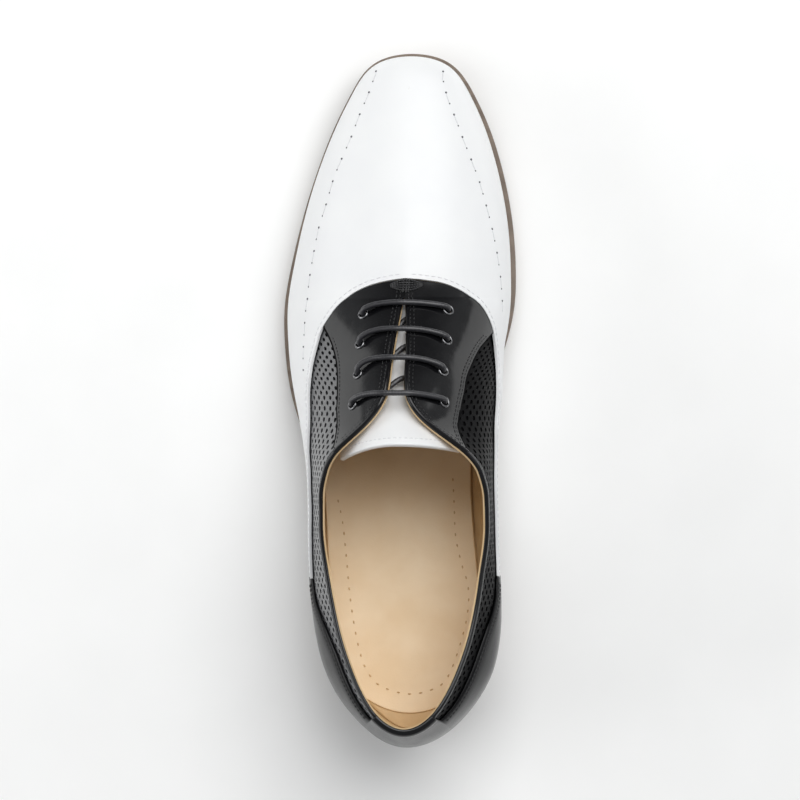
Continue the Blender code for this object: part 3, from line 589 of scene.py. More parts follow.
def make_block(bm, move):
    """Make a leaf a closed block: its faces stay, and a copy of them is moved away."""
    bmesh.ops.reverse_faces(bm, faces=bm.faces)
    raised = bmesh.ops.extrude_face_region(bm, geom=bm.faces[:], use_keep_orig=True)["geom"]
    for vertex in (v for v in raised if isinstance(v, bmesh.types.BMVert)):
        vertex.co = move(vertex.co)
    bmesh.ops.recalc_face_normals(bm, faces=bm.faces)
    return bm


def raised_by(height):
    """The move that lifts a copy straight up."""
    return lambda co: co + Vector((0.0, 0.0, height * MM))


print("blocks keep their leaf and raise a copy")

# %% Sole leather and outsole
# Waxed sole leather: a dull grey brown, with fibres that lie flat and so show as fine level lines
FIBRE = (16.0, 16.0, 0.7)
sole_leather, tree, place = start("waxed_sole_leather")
lying = add(tree, "ShaderNodeMapping", {"Vector": place, "Scale": [per_metre(size) for size in FIBRE]})
fibres = add(tree, "ShaderNodeTexNoise", {"Vector": lying.outputs["Vector"], "Scale": 1.0, "Detail": 4.0})
fibres = fibres.outputs["Fac"]
shade(tree, fibres, ("#64564b", "#85776a"), (0.4, 0.6), reliefs=[(fibres, 0.05)])

SOLE_ROWS, SOLE_ROUND = 20, 0.7
sole_turns = np.linspace(0.0, math.pi, 161)
bm = leaf(sole_turns, SOLE_ROWS, np.zeros_like, lambda station: sole_top(station) - SOLE_THICKNESS)
make_block(bm, raised_by(SOLE_THICKNESS))
round_edge(add_piece("outsole_plate", bm, [sole_leather], "sole_leather", "outsole"), SOLE_ROUND)

# %% [markdown]
# ## Heel
# The heel is a stack of leather lifts, pressed together, trimmed as one block and waxed. Separate lifts
# would be a dozen pieces that nobody can take apart, so the block is one piece and the joints between
# lifts are lines in its finish, a lift of about five millimetres apart.

# %% Stacked leather and heel
# Stacked heel leather: dark brown lifts with a darker, slightly sunken joint between them
LIFT, WAVES_PER_UNIT = 5.0, 3.18
heel_leather, tree, place = start("stacked_heel_leather")
lifts = add(tree, "ShaderNodeTexWave", {
    "Vector": place, "Scale": per_metre(LIFT) / WAVES_PER_UNIT, "Distortion": 0.4, "Detail": 2.0,
    "Detail Scale": 2.0}, wave_type="BANDS", bands_direction="Z", wave_profile="SIN")
grain = add(tree, "ShaderNodeTexNoise", {"Vector": place, "Scale": per_metre(3.0), "Detail": 4.0})
shade(tree, lifts.outputs["Fac"], ("#2a211b", "#5d4f45"), (0.34, 0.56), (0.02, 0.22), [(None, 0.12)],
      grain.outputs["Fac"])

HEEL_BREAST, BREAST_HOLLOW, HEEL_TAPER, HEEL_ROWS, HEEL_ROUND = 74.0, 5.0, 2.5, 24, 0.6
heel_centre = Vector(to_frame([0.0, (HEEL_BACK + HEEL_BREAST) / 2.0, 0.0]))
heel_shrink = 1.0 - 2.0 * HEEL_TAPER / (HEEL_BREAST - HEEL_BACK)


def down_to_floor(co):
    """The same place on the floor, drawn in by the heel's taper."""
    moved = heel_centre + (co - heel_centre) * heel_shrink
    return Vector((moved.x, moved.y, 0.0))


heel_turns = np.linspace(float(turn_of(HEEL_BREAST)), math.pi, 57)
bm = leaf(heel_turns, HEEL_ROWS, np.zeros_like,
          lambda station: sole_top(station) - SOLE_THICKNESS - GAP, BREAST_HOLLOW)
make_block(bm, down_to_floor)
round_edge(add_piece("heel_block", bm, [heel_leather], "heel_stack", "heel"), HEEL_ROUND)

# %% [markdown]
# ## Insole and sock
# Inside lies the insole board, and on it a sock of soft tan leather that ends in a curve at the heel,
# where the lining shows behind it. The two are separate leaves, so that the sock has a real edge with a
# shadow. A ring of stitch holes follows the sock's edge.

# %% Tan leathers
# Aniline sock leather: pale tan, matt, with fine pores and a slow drift of colour
sock_leather = leather(
    "tan_sock_leather", ("#efd8b4", "#f7e4c5"), (0.5, 0.62), (0.8, 0.03), (20.0, 0.1), drift=22.0)
# Pigskin lining: a shade darker, with larger pores
lining_leather = leather(
    "tan_lining_leather", ("#c9ab7e", "#d6bb92"), (0.55, 0.7), (1.1, 0.06), (8.0, 0.08), drift=14.0)
print("tan leathers:", sock_leather.name, lining_leather.name)

# %% Insole and sock
LINING_INSIDE, INSOLE_THICKNESS, INSOLE_ROWS = 0.9, 3.0, 16
SOCK_THICKNESS, SOCK_EASE, SOCK_GAP, SOCK_ROUND, SOCK_ROWS = 0.8, 0.4, 0.02, 0.35, 40
SOCK_BACK, SOCK_FRONT, SOCK_CURVE, CURVE_FROM, CURVE_PASSES = 16.4, 250.0, 0.0175, 60.0, 12


def insole_inset(station):
    """How far the insole's edge lies inside the sole's edge."""
    return steady(SIDE_WALL, station)[..., 0] + LINING_INSIDE


bm = leaf(sole_turns, INSOLE_ROWS, insole_inset, lambda station: sole_top(station) + GAP)
make_block(bm, raised_by(INSOLE_THICKNESS - SOCK_THICKNESS))
add_piece("insole_board", bm, [lining_leather], "tan_lining", "insole")

sock_stations = np.linspace(SOCK_FRONT, SOCK_BACK, 141)
sock_edge, _ = sole_edge(net_turns, insole_inset(station_of(net_turns)) + SOCK_EASE)
sock_left, sock_right = sock_edge[TURN_STEPS // 2::-1], sock_edge[TURN_STEPS // 2:]


def sock_place(column, row):
    """Places on the sock, whose back edge is a shallow curve from wall to wall."""
    station = sock_stations[column]
    curve = SOCK_CURVE * np.clip((CURVE_FROM - station) / (CURVE_FROM - SOCK_BACK), 0.0, 1.0) ** 2
    left = right = np.zeros_like(station)
    for _ in range(CURVE_PASSES):
        left = np.interp(station + curve * left**2, sock_left[:, 1], sock_left[:, 0])
        right = np.interp(station + curve * right**2, sock_right[:, 1], sock_right[:, 0])
    x = left + (right - left) * row / SOCK_ROWS
    y = station + curve * x**2
    return np.column_stack([x, y, sole_top(y) + GAP + INSOLE_THICKNESS])


bm = sheet(len(sock_stations) - 1, SOCK_ROWS, sock_place)
sock = add_piece("insole_sock", bm, [sock_leather], "tan_lining")
thicken(sock, SOCK_THICKNESS - SOCK_GAP, False, SOCK_ROUND, even=False)

# %% [markdown]
# ## Lining
# The lining is the inner skin of the shoe, and its top edge shows as a thin pale line inside the collar
# and along the lacing slit. It stands for the hollow solid of the upper. Where an eyelet goes through,
# its faces are taken out.

# %% Eyelet places
SIDES = (("lateral", False), ("medial", True))
EYELETS = (
    # lateral station, its distance from the slit, medial station, its distance from the slit
    (187.0, 16.6, 188.5, 18.2), (174.0, 16.2, 175.8, 17.9), (161.3, 15.6, 163.0, 17.2),
    (148.4, 15.0, 150.2, 17.0),
)


def on_side(turns, medial):
    """Lateral turns as they are, or the same places on the medial side, also with turns going up."""
    return FULL_TURN - np.flip(turns) if medial else turns


def eyelet_frame(number, medial):
    """Place of an eyelet in the frame, with its axis along the skin's normal."""
    station, distance = EYELETS[number][2:] if medial else EYELETS[number][:2]
    turn = on_side(turn_of(station), medial)
    foot, tip = to_frame(skin(turn, 1.0 - share(turn, distance), [0.0, 1.0]))
    turned = Vector(tip - foot).to_track_quat("Z", "Y").to_matrix().to_4x4()
    return Matrix.Translation(foot) @ turned


EYELET_FRAMES = {
    "%s_%d" % (side, number + 1): eyelet_frame(number, medial)
    for side, medial in SIDES for number in range(len(EYELETS))}
EYELET_SPOTS = [placed.translation for placed in EYELET_FRAMES.values()]


def open_at_eyelets(bm, radius):
    """Take out the faces of a sheet where eyelets go through it."""
    gone = [face for face in bm.faces
            if min((face.calc_center_median() - spot).length for spot in EYELET_SPOTS) < radius * MM]
    bmesh.ops.delete(bm, geom=gone, context="FACES")


def pattern_line(rows, turn):
    """Share of the rib where a line of the pattern crosses it."""
    lateral, medial = np.moveaxis(steady(rows, station_of(turn)), -1, 0)
    return np.where(np.mod(turn, FULL_TURN) > math.pi, medial, lateral)


print("eyelets:", list(EYELET_FRAMES))

# %% Lining
LINING_LIFT, LINING_THICKNESS, LINING_ROUND, LINING_ROWS, LINING_HOLE = -0.6, 0.7, 0.3, 48, 2.2
LINING_EDGE = (
    # station, how far the lining goes past the lateral and the medial edge
    (7.0, -1.5, -1.5), (30.0, -1.0, -1.0), (50.0, -0.3, -0.3), (128.0, 0.05, 0.05), (146.0, 0.3, 0.25),
    (152.0, 0.45, 0.0), (186.0, 0.45, 0.0), (193.0, 0.0, 0.0),
)
lining_turns = np.linspace(0.0, FULL_TURN, 481)


def lining_place(column, row):
    """Places on the lining, whose last row stops below the edge of the black leather or goes past it."""
    turn = lining_turns[column]
    opening = half_opening(edge_station(station_of(turn)))
    past = np.minimum(pattern_line(LINING_EDGE, turn), 0.5 * opening)
    top = 1.0 - share(turn, np.maximum(-past, 0.0))
    over = np.where(row == LINING_ROWS, np.maximum(past, 0.0), 0.0)
    return skin(turn, np.minimum(row / (LINING_ROWS - 1), 1.0) * top, LINING_LIFT, over)


bm = sheet(len(lining_turns) - 1, LINING_ROWS, lining_place)
open_at_eyelets(bm, LINING_HOLE)
lining = add_piece("lining", bm, [lining_leather], "tan_lining", "upper")
thicken(lining, LINING_THICKNESS, False, LINING_ROUND)

# %% [markdown]
# ## Punched quarters
# The quarters are the sides of the shoe. Their leather is punched with staggered rows of holes while it
# lies flat, and is then pulled over the last. The same order works here: a flat grid is drawn, every
# second cell gets an inset that is rounded to a circle and pushed in, and only then are all points
# carried to the skin. Holes cut by booleans on the curved sheet would leave poor faces.

# %% Patterns of the seams
VAMP_SEAM = (
    # station, share of the rib on the lateral and the medial side
    (76.3, 0.462, 0.489), (86.0, 0.516, 0.487), (97.0, 0.544, 0.495), (108.0, 0.554, 0.494),
    (120.0, 0.536, 0.473), (136.0, 0.480, 0.421), (150.0, 0.455, 0.390), (163.0, 0.490, 0.402),
    (172.0, 0.525, 0.433), (179.3, 0.555, 0.482), (185.3, 0.605, 0.535), (190.9, 0.660, 0.597),
    (195.8, 0.730, 0.682), (198.7, 0.800, 0.755), (200.5, 0.870, 0.825), (201.5, 0.935, 0.910),
    (201.9, 0.975, 0.962), (202.0, 1.0, 1.0),
)
FACING_REAR = (
    # station, share of the rib on the lateral and the medial side
    (127.6, 1.000, 1.000), (133.7, 0.890, 0.910), (138.3, 0.825, 0.850), (146.7, 0.742, 0.755),
    (155.2, 0.715, 0.705), (160.5, 0.708, 0.690), (166.0, 0.693, 0.655), (172.8, 0.655, 0.590),
    (176.5, 0.625, 0.530), (181.0, 0.580, 0.460), (202.0, 0.300, 0.300),
)
COUNTER_TOP = (
    # station, share of the rib on the lateral and the medial side
    (13.0, 0.775, 0.770), (22.5, 0.775, 0.742), (31.0, 0.785, 0.746), (37.0, 0.786, 0.747),
    (42.0, 0.780, 0.744), (48.0, 0.744, 0.728), (54.0, 0.690, 0.692), (59.5, 0.612, 0.640),
    (65.0, 0.520, 0.580), (70.0, 0.470, 0.536), (75.5, 0.450, 0.510),
)
ROW_LINE = (
    # station, share of the rib that the rows of holes run along, on both sides
    (7.0, 1.0, 1.0), (60.0, 1.0, 1.0), (90.0, 0.985, 0.985), (110.0, 0.945, 0.945), (120.0, 0.91, 0.905),
    (130.0, 0.86, 0.85), (140.0, 0.80, 0.78), (150.0, 0.75, 0.725), (160.0, 0.712, 0.68), (172.0, 0.66, 0.59),
    (185.0, 0.60, 0.50), (192.0, 0.56, 0.46),
)
print("seam rows:", len(VAMP_SEAM), len(FACING_REAR), len(COUNTER_TOP))

# %% What shows of a quarter, and round holes
HOLE_RADIUS, HOLE_DEPTH, HOLE_INSET, QUARTER_TOP = 1.04, 0.5, 0.15, 0.997


def seen_on_quarter(turn, rise, margin):
    """Whether a place of the quarter shows between the pieces that lie over it, or nearly so."""
    station, margin = station_of(turn), share(turn, margin)
    under_vamp = (station > VAMP_SEAM[0][0]) & (rise < pattern_line(VAMP_SEAM, turn) - margin)
    under_counter = (station < COUNTER_TOP[-1][0]) & (rise < pattern_line(COUNTER_TOP, turn) - margin)
    under_facing = (station > FACING_REAR[0][0]) & (rise > pattern_line(FACING_REAR, turn) + margin)
    return ~(under_vamp | under_counter | under_facing | (rise > QUARTER_TOP))


def round_holes(bm, holes):
    """Inset the cells, make each inner cell a circle and push it in."""
    bmesh.ops.inset_individual(bm, faces=holes, thickness=HOLE_INSET, use_even_offset=True)
    edges = list({edge for face in holes for edge in face.edges})
    bmesh.ops.subdivide_edges(bm, edges=edges, cuts=2)
    for face in holes:
        middle = face.calc_center_median()
        for vertex in face.verts:
            vertex.co = middle + (vertex.co - middle).normalized() * HOLE_RADIUS
    for face in bmesh.ops.extrude_discrete_faces(bm, faces=holes)["faces"]:
        face.material_index = 1
        bmesh.ops.translate(bm, verts=face.verts, vec=(0.0, 0.0, -HOLE_DEPTH))


print("hole:", 2.0 * HOLE_RADIUS, "mm wide and", HOLE_DEPTH, "mm deep")

# %% Flat leather with punched holes
HOLE_PITCH, ROW_PITCH, ROWS_UP, ROWS_DOWN, ROW_MIDDLE = 4.8, 2.7, 6, 18, 14.0
HIDDEN_MARGIN, HOLE_MARGIN, SHARP_ANGLE = 8.0, 1.0, 45.0
quarter_side = turn_of(np.linspace(192.0, 10.0, 440))


def punch_quarter(name, medial, leather_used):
    """A quarter, drawn and punched flat and then pulled over the last."""
    turns = on_side(quarter_side, medial)
    run = run_along(skin(turns, pattern_line(ROW_LINE, turns) - share(turns, ROW_MIDDLE)))
    columns, rows = int(run[-1] / HOLE_PITCH * 2.0), ROWS_UP + ROWS_DOWN
    bm = bmesh.new()
    bmesh.ops.create_grid(bm, x_segments=columns, y_segments=rows, size=0.5)
    stretch = Matrix.Diagonal((columns * HOLE_PITCH / 2.0, rows * ROW_PITCH, 1.0, 1.0))
    centre = Matrix.Translation((columns * HOLE_PITCH / 4.0, (ROWS_UP - ROWS_DOWN) / 2.0 * ROW_PITCH, 0.0))
    bmesh.ops.transform(bm, matrix=centre @ stretch, verts=bm.verts)

    def on_last(spots):
        spots = np.asarray(spots)
        turn = np.interp(spots[:, 0], run, turns)
        return turn, pattern_line(ROW_LINE, turn) + share(turn, spots[:, 1])

    middles = [face.calc_center_median() for face in bm.faces]
    places = on_last(middles)
    kept, clear = seen_on_quarter(*places, HIDDEN_MARGIN), seen_on_quarter(*places, HOLE_MARGIN)
    checker = [(math.floor(c.x / HOLE_PITCH * 2.0) + math.floor(c.y / ROW_PITCH)) % 2 == 0 for c in middles]
    holes = [face for face, k, s, c in zip(bm.faces, kept, clear, checker) if k and s and c]
    bmesh.ops.delete(bm, geom=[face for face, k in zip(bm.faces, kept) if not k], context="FACES")
    round_holes(bm, holes)
    lift = np.array([vertex.co.z for vertex in bm.verts])
    points = to_frame(skin(*on_last([vertex.co for vertex in bm.verts]), lift))
    for vertex, point in zip(bm.verts, points):
        vertex.co = point
    print("holes:", len(holes))
    piece = add_piece(name, bm, [leather_used, hole_floor_and_painted_edge_shade], "black_calf")
    piece.data.set_sharp_from_angle(angle=math.radians(SHARP_ANGLE))


# Painted sheen: the outer quarter takes the punched calf whose colour is raised to dark grey
punch_quarter("quarter_lateral", False, black_punched)
# Painted shade: the inner quarter takes the near-black copy with almost no shine
punch_quarter("quarter_medial", True, black_punched_painted_shade)

# %% [markdown]
# ## Vamp
# The vamp is the white front of the shoe. It wraps the toe, closes over the throat in a deep curve and
# sends a wing back along each side to the heel. It is one sheet on the skin. Its columns stand closer
# together where the seam crosses the throat, because the seam turns there within a few millimetres.

# %% Vamp
OVERLAY_LIFT, VAMP_THICKNESS, VAMP_ROUND, VAMP_ROWS = 0.5, 1.1, 0.4, 44


def overlay(turns, low, high, rows):
    """A sheet on the skin between two lines, which are shares of each rib."""

    def place(column, row):
        part = row / rows
        return skin(turns[column], low[column] * (1.0 - part) + high[column] * part, OVERLAY_LIFT)

    return sheet(len(turns) - 1, rows, place)


def side_turns(medial, *runs):
    """Turns on one side for runs of stations, each given as first, last and a count."""
    return on_side(turn_of(np.concatenate([np.linspace(*run, endpoint=False) for run in runs])), medial)


vamp_side = np.concatenate([
    np.linspace(0.0, float(turn_of(203.0)), 70, endpoint=False),
    side_turns(False, (203.0, 199.5, 26), (199.5, 190.0, 26), (190.0, 73.5, 80))])
vamp_turns = np.concatenate([-vamp_side[:0:-1], vamp_side])
bm = overlay(vamp_turns, np.zeros_like(vamp_turns), pattern_line(VAMP_SEAM, vamp_turns), VAMP_ROWS)
thicken(add_piece("vamp_leather", bm, [white_calf], "white_calf", "vamp"), VAMP_THICKNESS, True, VAMP_ROUND)

# %% [markdown]
# ## Facings
# The facings carry the eyelets on both sides of the slit. Their front end lies under the vamp and their
# rear edge lies on the punched quarter. They are sheets like the vamp, of thinner polished leather, and
# the faces along the rear edge are matt black, a painted shade line where the edge and its groove fall dark.

# %% Facings
FACING_THICKNESS, FACING_ROUND, FACING_ROWS, FACING_HOLE = 0.75, 0.3, 60, 1.9
FACING_INSET, FACING_UNDER, SEAM_AHEAD, SHADE_LINE_WIDTH = 0.15, 0.8, 0.6, 0.95


def make_facing(side, medial):
    """A facing from the throat back to the topline."""
    turns = side_turns(medial, (201.7, 190.0, 40), (190.0, 140.0, 70), (140.0, 130.0, 24))
    stations, rear = station_of(turns), pattern_line(FACING_REAR, turns)
    ahead = turn_of(stations + SEAM_AHEAD)
    ahead = FULL_TURN - ahead if medial else ahead
    low = np.maximum(rear, pattern_line(VAMP_SEAM, ahead) - share(turns, FACING_UNDER))
    high = 1.0 - share(turns, np.minimum(FACING_INSET, half_opening(stations)))
    bm = overlay(turns, np.minimum(low, high), high, FACING_ROWS)
    open_at_eyelets(bm, FACING_HOLE)
    piece = add_piece("lace_facing_" + side, bm, [black_calf, hole_floor_and_painted_edge_shade], "black_calf", "facing_" + side)
    # Faces along the rear edge take the matt black finish: a painted shade line
    cut_edge = to_frame(skin(turns, rear, OVERLAY_LIFT))
    for face in piece.data.polygons:
        in_shade_line = np.min(np.linalg.norm(cut_edge - face.center, axis=1)) < SHADE_LINE_WIDTH * MM
        face.material_index = int(in_shade_line)
    thicken(piece, FACING_THICKNESS, True, FACING_ROUND)


for side, medial in SIDES:
    make_facing(side, medial)

# %% [markdown]
# ## Heel counter
# The counter is a stiff cup round the heel, moulded over a hidden board, so it stands out more than the
# other pieces. It runs forwards to a low tip on each side, and at the back a tab goes up to the topline
# and is rolled over it.

# %% Heel counter
COUNTER_THICKNESS, COUNTER_ROLL, COUNTER_FOOT = 1.6, 7.0, 0.2
TAB_STATION, TAB_STEP, TAB_DROP = 14.3, 0.15, 0.6
OUTSIDE_ROWS, INSIDE_ROWS, ROW_CROWDING = 49, 15, 1.8
counter_side = np.concatenate([
    side_turns(False, (COUNTER_TOP[-1][0], 20.0, 64)),
    np.linspace(float(turn_of(20.0)), float(turn_of(TAB_STATION + TAB_STEP)), 10),
    np.linspace(float(turn_of(TAB_STATION - TAB_STEP)), math.pi, 22)])
counter_turns = np.concatenate([counter_side, on_side(counter_side[:-1], True)])
counter_high = np.where(station_of(counter_turns) < TAB_STATION, 1.0 - share(counter_turns, TAB_DROP),
                        pattern_line(COUNTER_TOP, counter_turns))
counter_parts = np.concatenate([
    1.0 - np.linspace(1.0, 0.0, OUTSIDE_ROWS) ** ROW_CROWDING, np.linspace(1.0, 0.0, INSIDE_ROWS), [0.0]])
counter_is_outside = np.append(np.arange(OUTSIDE_ROWS + INSIDE_ROWS) < OUTSIDE_ROWS, True)


def counter_place(column, row):
    """Places round the counter's section: up its outer face, which rolls in at the top, and down inside."""
    turn, high = counter_turns[column], counter_high[column]
    low = share(turn, COUNTER_FOOT)
    rise = low + (high - low) * counter_parts[row]
    below = np.minimum((high - rise) / share(turn, COUNTER_ROLL), 1.0)
    swell = COUNTER_THICKNESS * np.sqrt(1.0 - (1.0 - below) ** 2)
    return skin(turn, rise, OVERLAY_LIFT + np.where(counter_is_outside[row], swell, 0.0))


bm = close_ends(sheet(len(counter_turns) - 1, len(counter_parts) - 1, counter_place))
add_piece("heel_counter_cup", bm, [black_moulded], "black_calf", "heel_counter")

# %% [markdown]
# ## Collar binding
# A narrow strip of soft black leather is sewn along the topline and rolled over its edge, which gives the
# collar a round bead with a thin highlight. A pipe along the edge would be too round and would float, so
# the strip is a closed profile, given as distance below the edge and lift, that is carried along it.

# %% Rolled strips
BINDING_PROFILE = (
    # distance below the topline, lift
    (4.0, 0.0), (3.95, 0.45), (3.7, 0.72), (3.2, 0.8), (2.7, 0.8), (2.35, 0.6), (2.0, 0.8), (1.6, 1.02),
    (1.0, 1.15), (0.4, 1.05), (0.0, 0.8), (-0.28, 0.4), (-0.38, 0.0), (-0.33, -0.35), (-0.1, -0.58),
    (0.6, -0.5), (3.0, -0.3),
)
FOLD_PROFILE = (
    # distance below the edge of the facing, lift
    (1.5, 1.1), (1.45, 1.36), (1.1, 1.5), (0.6, 1.5), (0.15, 1.3), (-0.2, 0.9), (-0.32, 0.3), (-0.3, -0.2),
    (-0.1, -0.52), (0.4, -0.45), (1.2, 0.6),
)
TAB_PROFILE = (
    # distance below the topline, lift
    (4.6, 1.9), (4.2, 2.25), (3.4, 2.4), (2.2, 2.38), (1.2, 2.2), (0.4, 1.8), (-0.2, 1.2), (-0.5, 0.5),
    (-0.52, -0.2), (-0.25, -0.62), (0.6, -0.5), (3.5, 1.0),
)


def rolled_strip(name, turns, profile, *stands_for):
    """A closed profile carried along the topline."""
    below, lift = np.array(profile + profile[:1]).T

    def place(column, row):
        turn = turns[column]
        rise = 1.0 - share(turn, np.maximum(below[row], 0.0))
        return skin(turn, rise, lift[row], np.maximum(-below[row], 0.0))

    bm = close_ends(sheet(len(turns) - 1, len(below) - 1, place))
    add_piece(name, bm, [black_binding], "black_calf", *stands_for)


for side, medial in SIDES:
    turns = side_turns(medial, (130.6, 118.0, 40), (118.0, 30.0, 110), (30.0, 13.9, 40))
    rolled_strip("collar_strip_" + side, turns, BINDING_PROFILE, "collar_binding_" + side)
for side, medial in SIDES:
    turns = side_turns(medial, (192.4, 150.0, 80), (150.0, 128.4, 80))
    rolled_strip("facing_fold_" + side, turns, FOLD_PROFILE)
tab_start = float(turn_of(TAB_STATION))
rolled_strip("heel_tab_roll", np.linspace(tab_start, FULL_TURN - tab_start, 81), TAB_PROFILE)

# %% [markdown]
# ## Tongue
# The tongue is an arched leaf of the same white calf, lined in tan, that hangs from the throat under both
# facings and shows through the slit and above it. It is a grid across its width, dropped at both sides.

# %% Tongue
TONGUE = (
    # station, half width, height, drop of the lateral and the medial side, how far these sides lie back
    (132.6, 26.0, 102.6, 22.5, 21.0, 7.0, 3.4), (136.0, 25.6, 99.8, 21.5, 19.5, 5.8, 2.8),
    (142.0, 24.6, 94.8, 18.5, 15.8, 4.0, 2.0), (150.0, 23.0, 89.2, 15.5, 12.5, 2.2, 1.2),
    (165.0, 20.0, 80.6, 10.5, 8.5, 0.5, 0.3), (185.0, 17.0, 68.4, 6.8, 6.0, 0.0, 0.0),
    (200.0, 14.0, 62.6, 5.0, 5.0, 0.0, 0.0),
)
TONGUE_THICKNESS, TONGUE_ROUND, TONGUE_COLUMNS, TONGUE_ROWS = 2.2, 0.7, 48, 72


def tongue_point(across, station):
    """Place on the tongue's upper face; across goes from -1 on the lateral side to 1."""
    half, height, drop_l, drop_m, back_l, back_m = np.moveaxis(steady(TONGUE, station), -1, 0)
    middle = steady(TOP_EDGE, station)[..., 2]
    drop = np.where(across > 0.0, drop_m, drop_l)
    back = np.where(across > 0.0, back_m, back_l)
    return np.stack([middle + across * half, station - back * across**2, height - drop * across**2], axis=-1)


tongue_top, tongue_root = TONGUE[0][0], TONGUE[-1][0]
bm = sheet(TONGUE_COLUMNS, TONGUE_ROWS, lambda column, row: tongue_point(
    1.0 - column / TONGUE_COLUMNS * 2.0, tongue_root + (tongue_top - tongue_root) * row / TONGUE_ROWS))
tongue = add_piece("tongue_leaf", bm, [white_calf, lining_leather], "white_calf", "tongue")
thicken(tongue, TONGUE_THICKNESS, False, TONGUE_ROUND, back=1)

# %% [markdown]
# ## Eyelets
# An eyelet is a small tube of sheet metal, pressed through the leather and rolled out to a flange. A
# turned part like this is a profile that is spun round its axis, and only its flange shows beside the lace.

# %% Eyelets
# Black nickel plate on brass: a dark mirror that shows as a bright crescent where a lamp is reflected
eyelet_metal = plain_finish("black_nickel_plate", 0.8, 3.0, ("#6c6c6e", "#929294"), (0.14, 0.3), Metallic=1.0)
EYELET_PROFILE = (
    # radius, lift
    (1.55, -2.0), (1.95, -2.0), (1.95, 1.2), (2.4, 1.2), (2.5, 1.36), (2.42, 1.64), (2.24, 1.84), (2.0, 1.92),
    (1.8, 1.88), (1.64, 1.74), (1.55, 1.5),
)
EYELET_STEPS = 32
for name, placed in EYELET_FRAMES.items():
    bm = bmesh.new()
    loop = [bm.verts.new((radius * MM, 0.0, lift * MM)) for radius, lift in EYELET_PROFILE]
    for k, vertex in enumerate(loop):
        bm.edges.new((vertex, loop[k - 1]))
    bmesh.ops.spin(bm, geom=bm.verts[:] + bm.edges[:], cent=(0.0, 0.0, 0.0), axis=(0.0, 0.0, 1.0),
                   angle=FULL_TURN, steps=EYELET_STEPS, use_merge=True)
    bmesh.ops.recalc_face_normals(bm, faces=bm.faces)
    bmesh.ops.transform(bm, matrix=placed, verts=bm.verts)
    add_piece("eyelet_ring_" + name, bm, [eyelet_metal], "eyelet_metal", "eyelet_" + name)

# %% [markdown]
# ## Lace
# One round waxed lace goes through all eyelets: over each pair as a bar that bows towards the toe, then
# slanting under the facings to the next pair. Both ends stop under the facings. The route repeats the
# solid's points, is smoothed, and carries a round tube whose surface has the low ridges of a braid.

# %% Legs of the lace
# Rows of distance from the eyelet and lift, over the facing, under it and at an end
LACE_OVER = ((0.0, 0.5), (0.25, 2.2), (1.1, 3.25), (2.8, 3.6), (9.0, 2.9), (20.0, 2.8))
LACE_UNDER = ((0.0, -0.9), (0.2, -2.4), (1.1, -3.25), (2.8, -3.45), (20.0, -3.4))
LACE_END = ((0.0, -2.4),)
LACE_BOWS, UNDER_PLACE, UNDER_SLANT = (3.2, 4.8, 5.2, 3.5), 0.47, 1.7
BEND_LATERAL, BEND_MEDIAL, CLOSE_ROWS, LEG_FROM, LEG_POINTS = 3.2, 2.2, 9.0, 4.0, 8


def lace_leg(number, medial, rows, target=0.0, roundness=1.0):
    """Points of the lace from an eyelet to the edge of the slit, which it reaches at the target station."""
    station, distance = EYELETS[number][2:] if medial else EYELETS[number][:2]
    run, lift = np.zeros(1), np.array(rows[0][1:])
    if len(rows) > 1:
        close = [row[0] for row in rows if row[0] < CLOSE_ROWS]
        run = np.append(close, np.linspace(LEG_FROM, distance, LEG_POINTS))
        lift = steady(rows, run)[:, 0]
    turns = turn_of(station + (target - station) * (1.0 - (1.0 - run / distance) ** roundness))
    turns = FULL_TURN - turns if medial else turns
    return skin(turns, 1.0 - share(turns, distance - run), lift)


last = len(EYELETS) - 1
bars = [(row[0] + row[2]) / 2.0 + bow for row, bow in zip(EYELETS, LACE_BOWS)]
legs = [lace_leg(0, False, LACE_END)]
for number, bar in enumerate(bars):
    legs.append(lace_leg(number, False, LACE_OVER, bar, BEND_LATERAL))
    legs.append(lace_leg(number, True, LACE_OVER, bar, BEND_MEDIAL)[::-1])
    if number < last:
        crossing = bar + (bars[number + 1] - bar) * UNDER_PLACE
        legs.append(lace_leg(number, True, LACE_UNDER, crossing + UNDER_SLANT))
        legs.append(lace_leg(number + 1, False, LACE_UNDER, crossing - UNDER_SLANT)[::-1])
knots = np.concatenate([*legs, lace_leg(last, True, LACE_END)])
print("lace: knots", len(knots), "bars", len(bars))

# %% Route of the lace
LACE_STEP, DENSE_POINTS, EASE_FROM, EASE_OVER, EASE_RATE, EASE_PASSES = 0.35, 4000, 4.0, 4.0, 0.5, 60

# A curve through the knots that doesn't swing out between them, in even steps
run = run_along(knots)
dense = steady(np.column_stack([run, knots]), np.linspace(0.0, run[-1], DENSE_POINTS))
run = run_along(dense)
lace_route = read_at(np.linspace(0.0, run[-1], int(run[-1] / LACE_STEP)), run, dense)

# Away from the eyelets the lace is pulled straighter
from_eyelet = np.min(
    [np.linalg.norm(lace_route + SHIFT - spot / MM, axis=1) for spot in EYELET_SPOTS], axis=0)
ease = np.clip((from_eyelet - EASE_FROM) / EASE_OVER, 0.0, 1.0)[1:-1, None] * EASE_RATE
for _ in range(EASE_PASSES):
    lace_route[1:-1] += ease * ((lace_route[2:] + lace_route[:-2]) / 2.0 - lace_route[1:-1])
print("lace:", round(float(run[-1])), "mm in", len(lace_route), "points")

# %% Waxed lace
# Waxed cotton braid: black, round and half glossy, with a thin light along its top
waxed_cotton = plain_finish(
    "waxed_cotton_braid", 0.5, 3.0, ("#121215", "#2a2a2f"), (0.3, 0.5), 0.04, Specular_IOR_Level=0.8)
LACE_RADIUS, LACE_SIDES, BRAID_RIDGE, BRAID_STEP, ASKEW = 1.2, 16, 0.06, 2.6, (0.0, 1.0, 0.3)
along = unit(np.gradient(lace_route, axis=0))
first = unit(np.cross(along, ASKEW))
second = np.cross(along, first)
lace_run = run_along(lace_route)


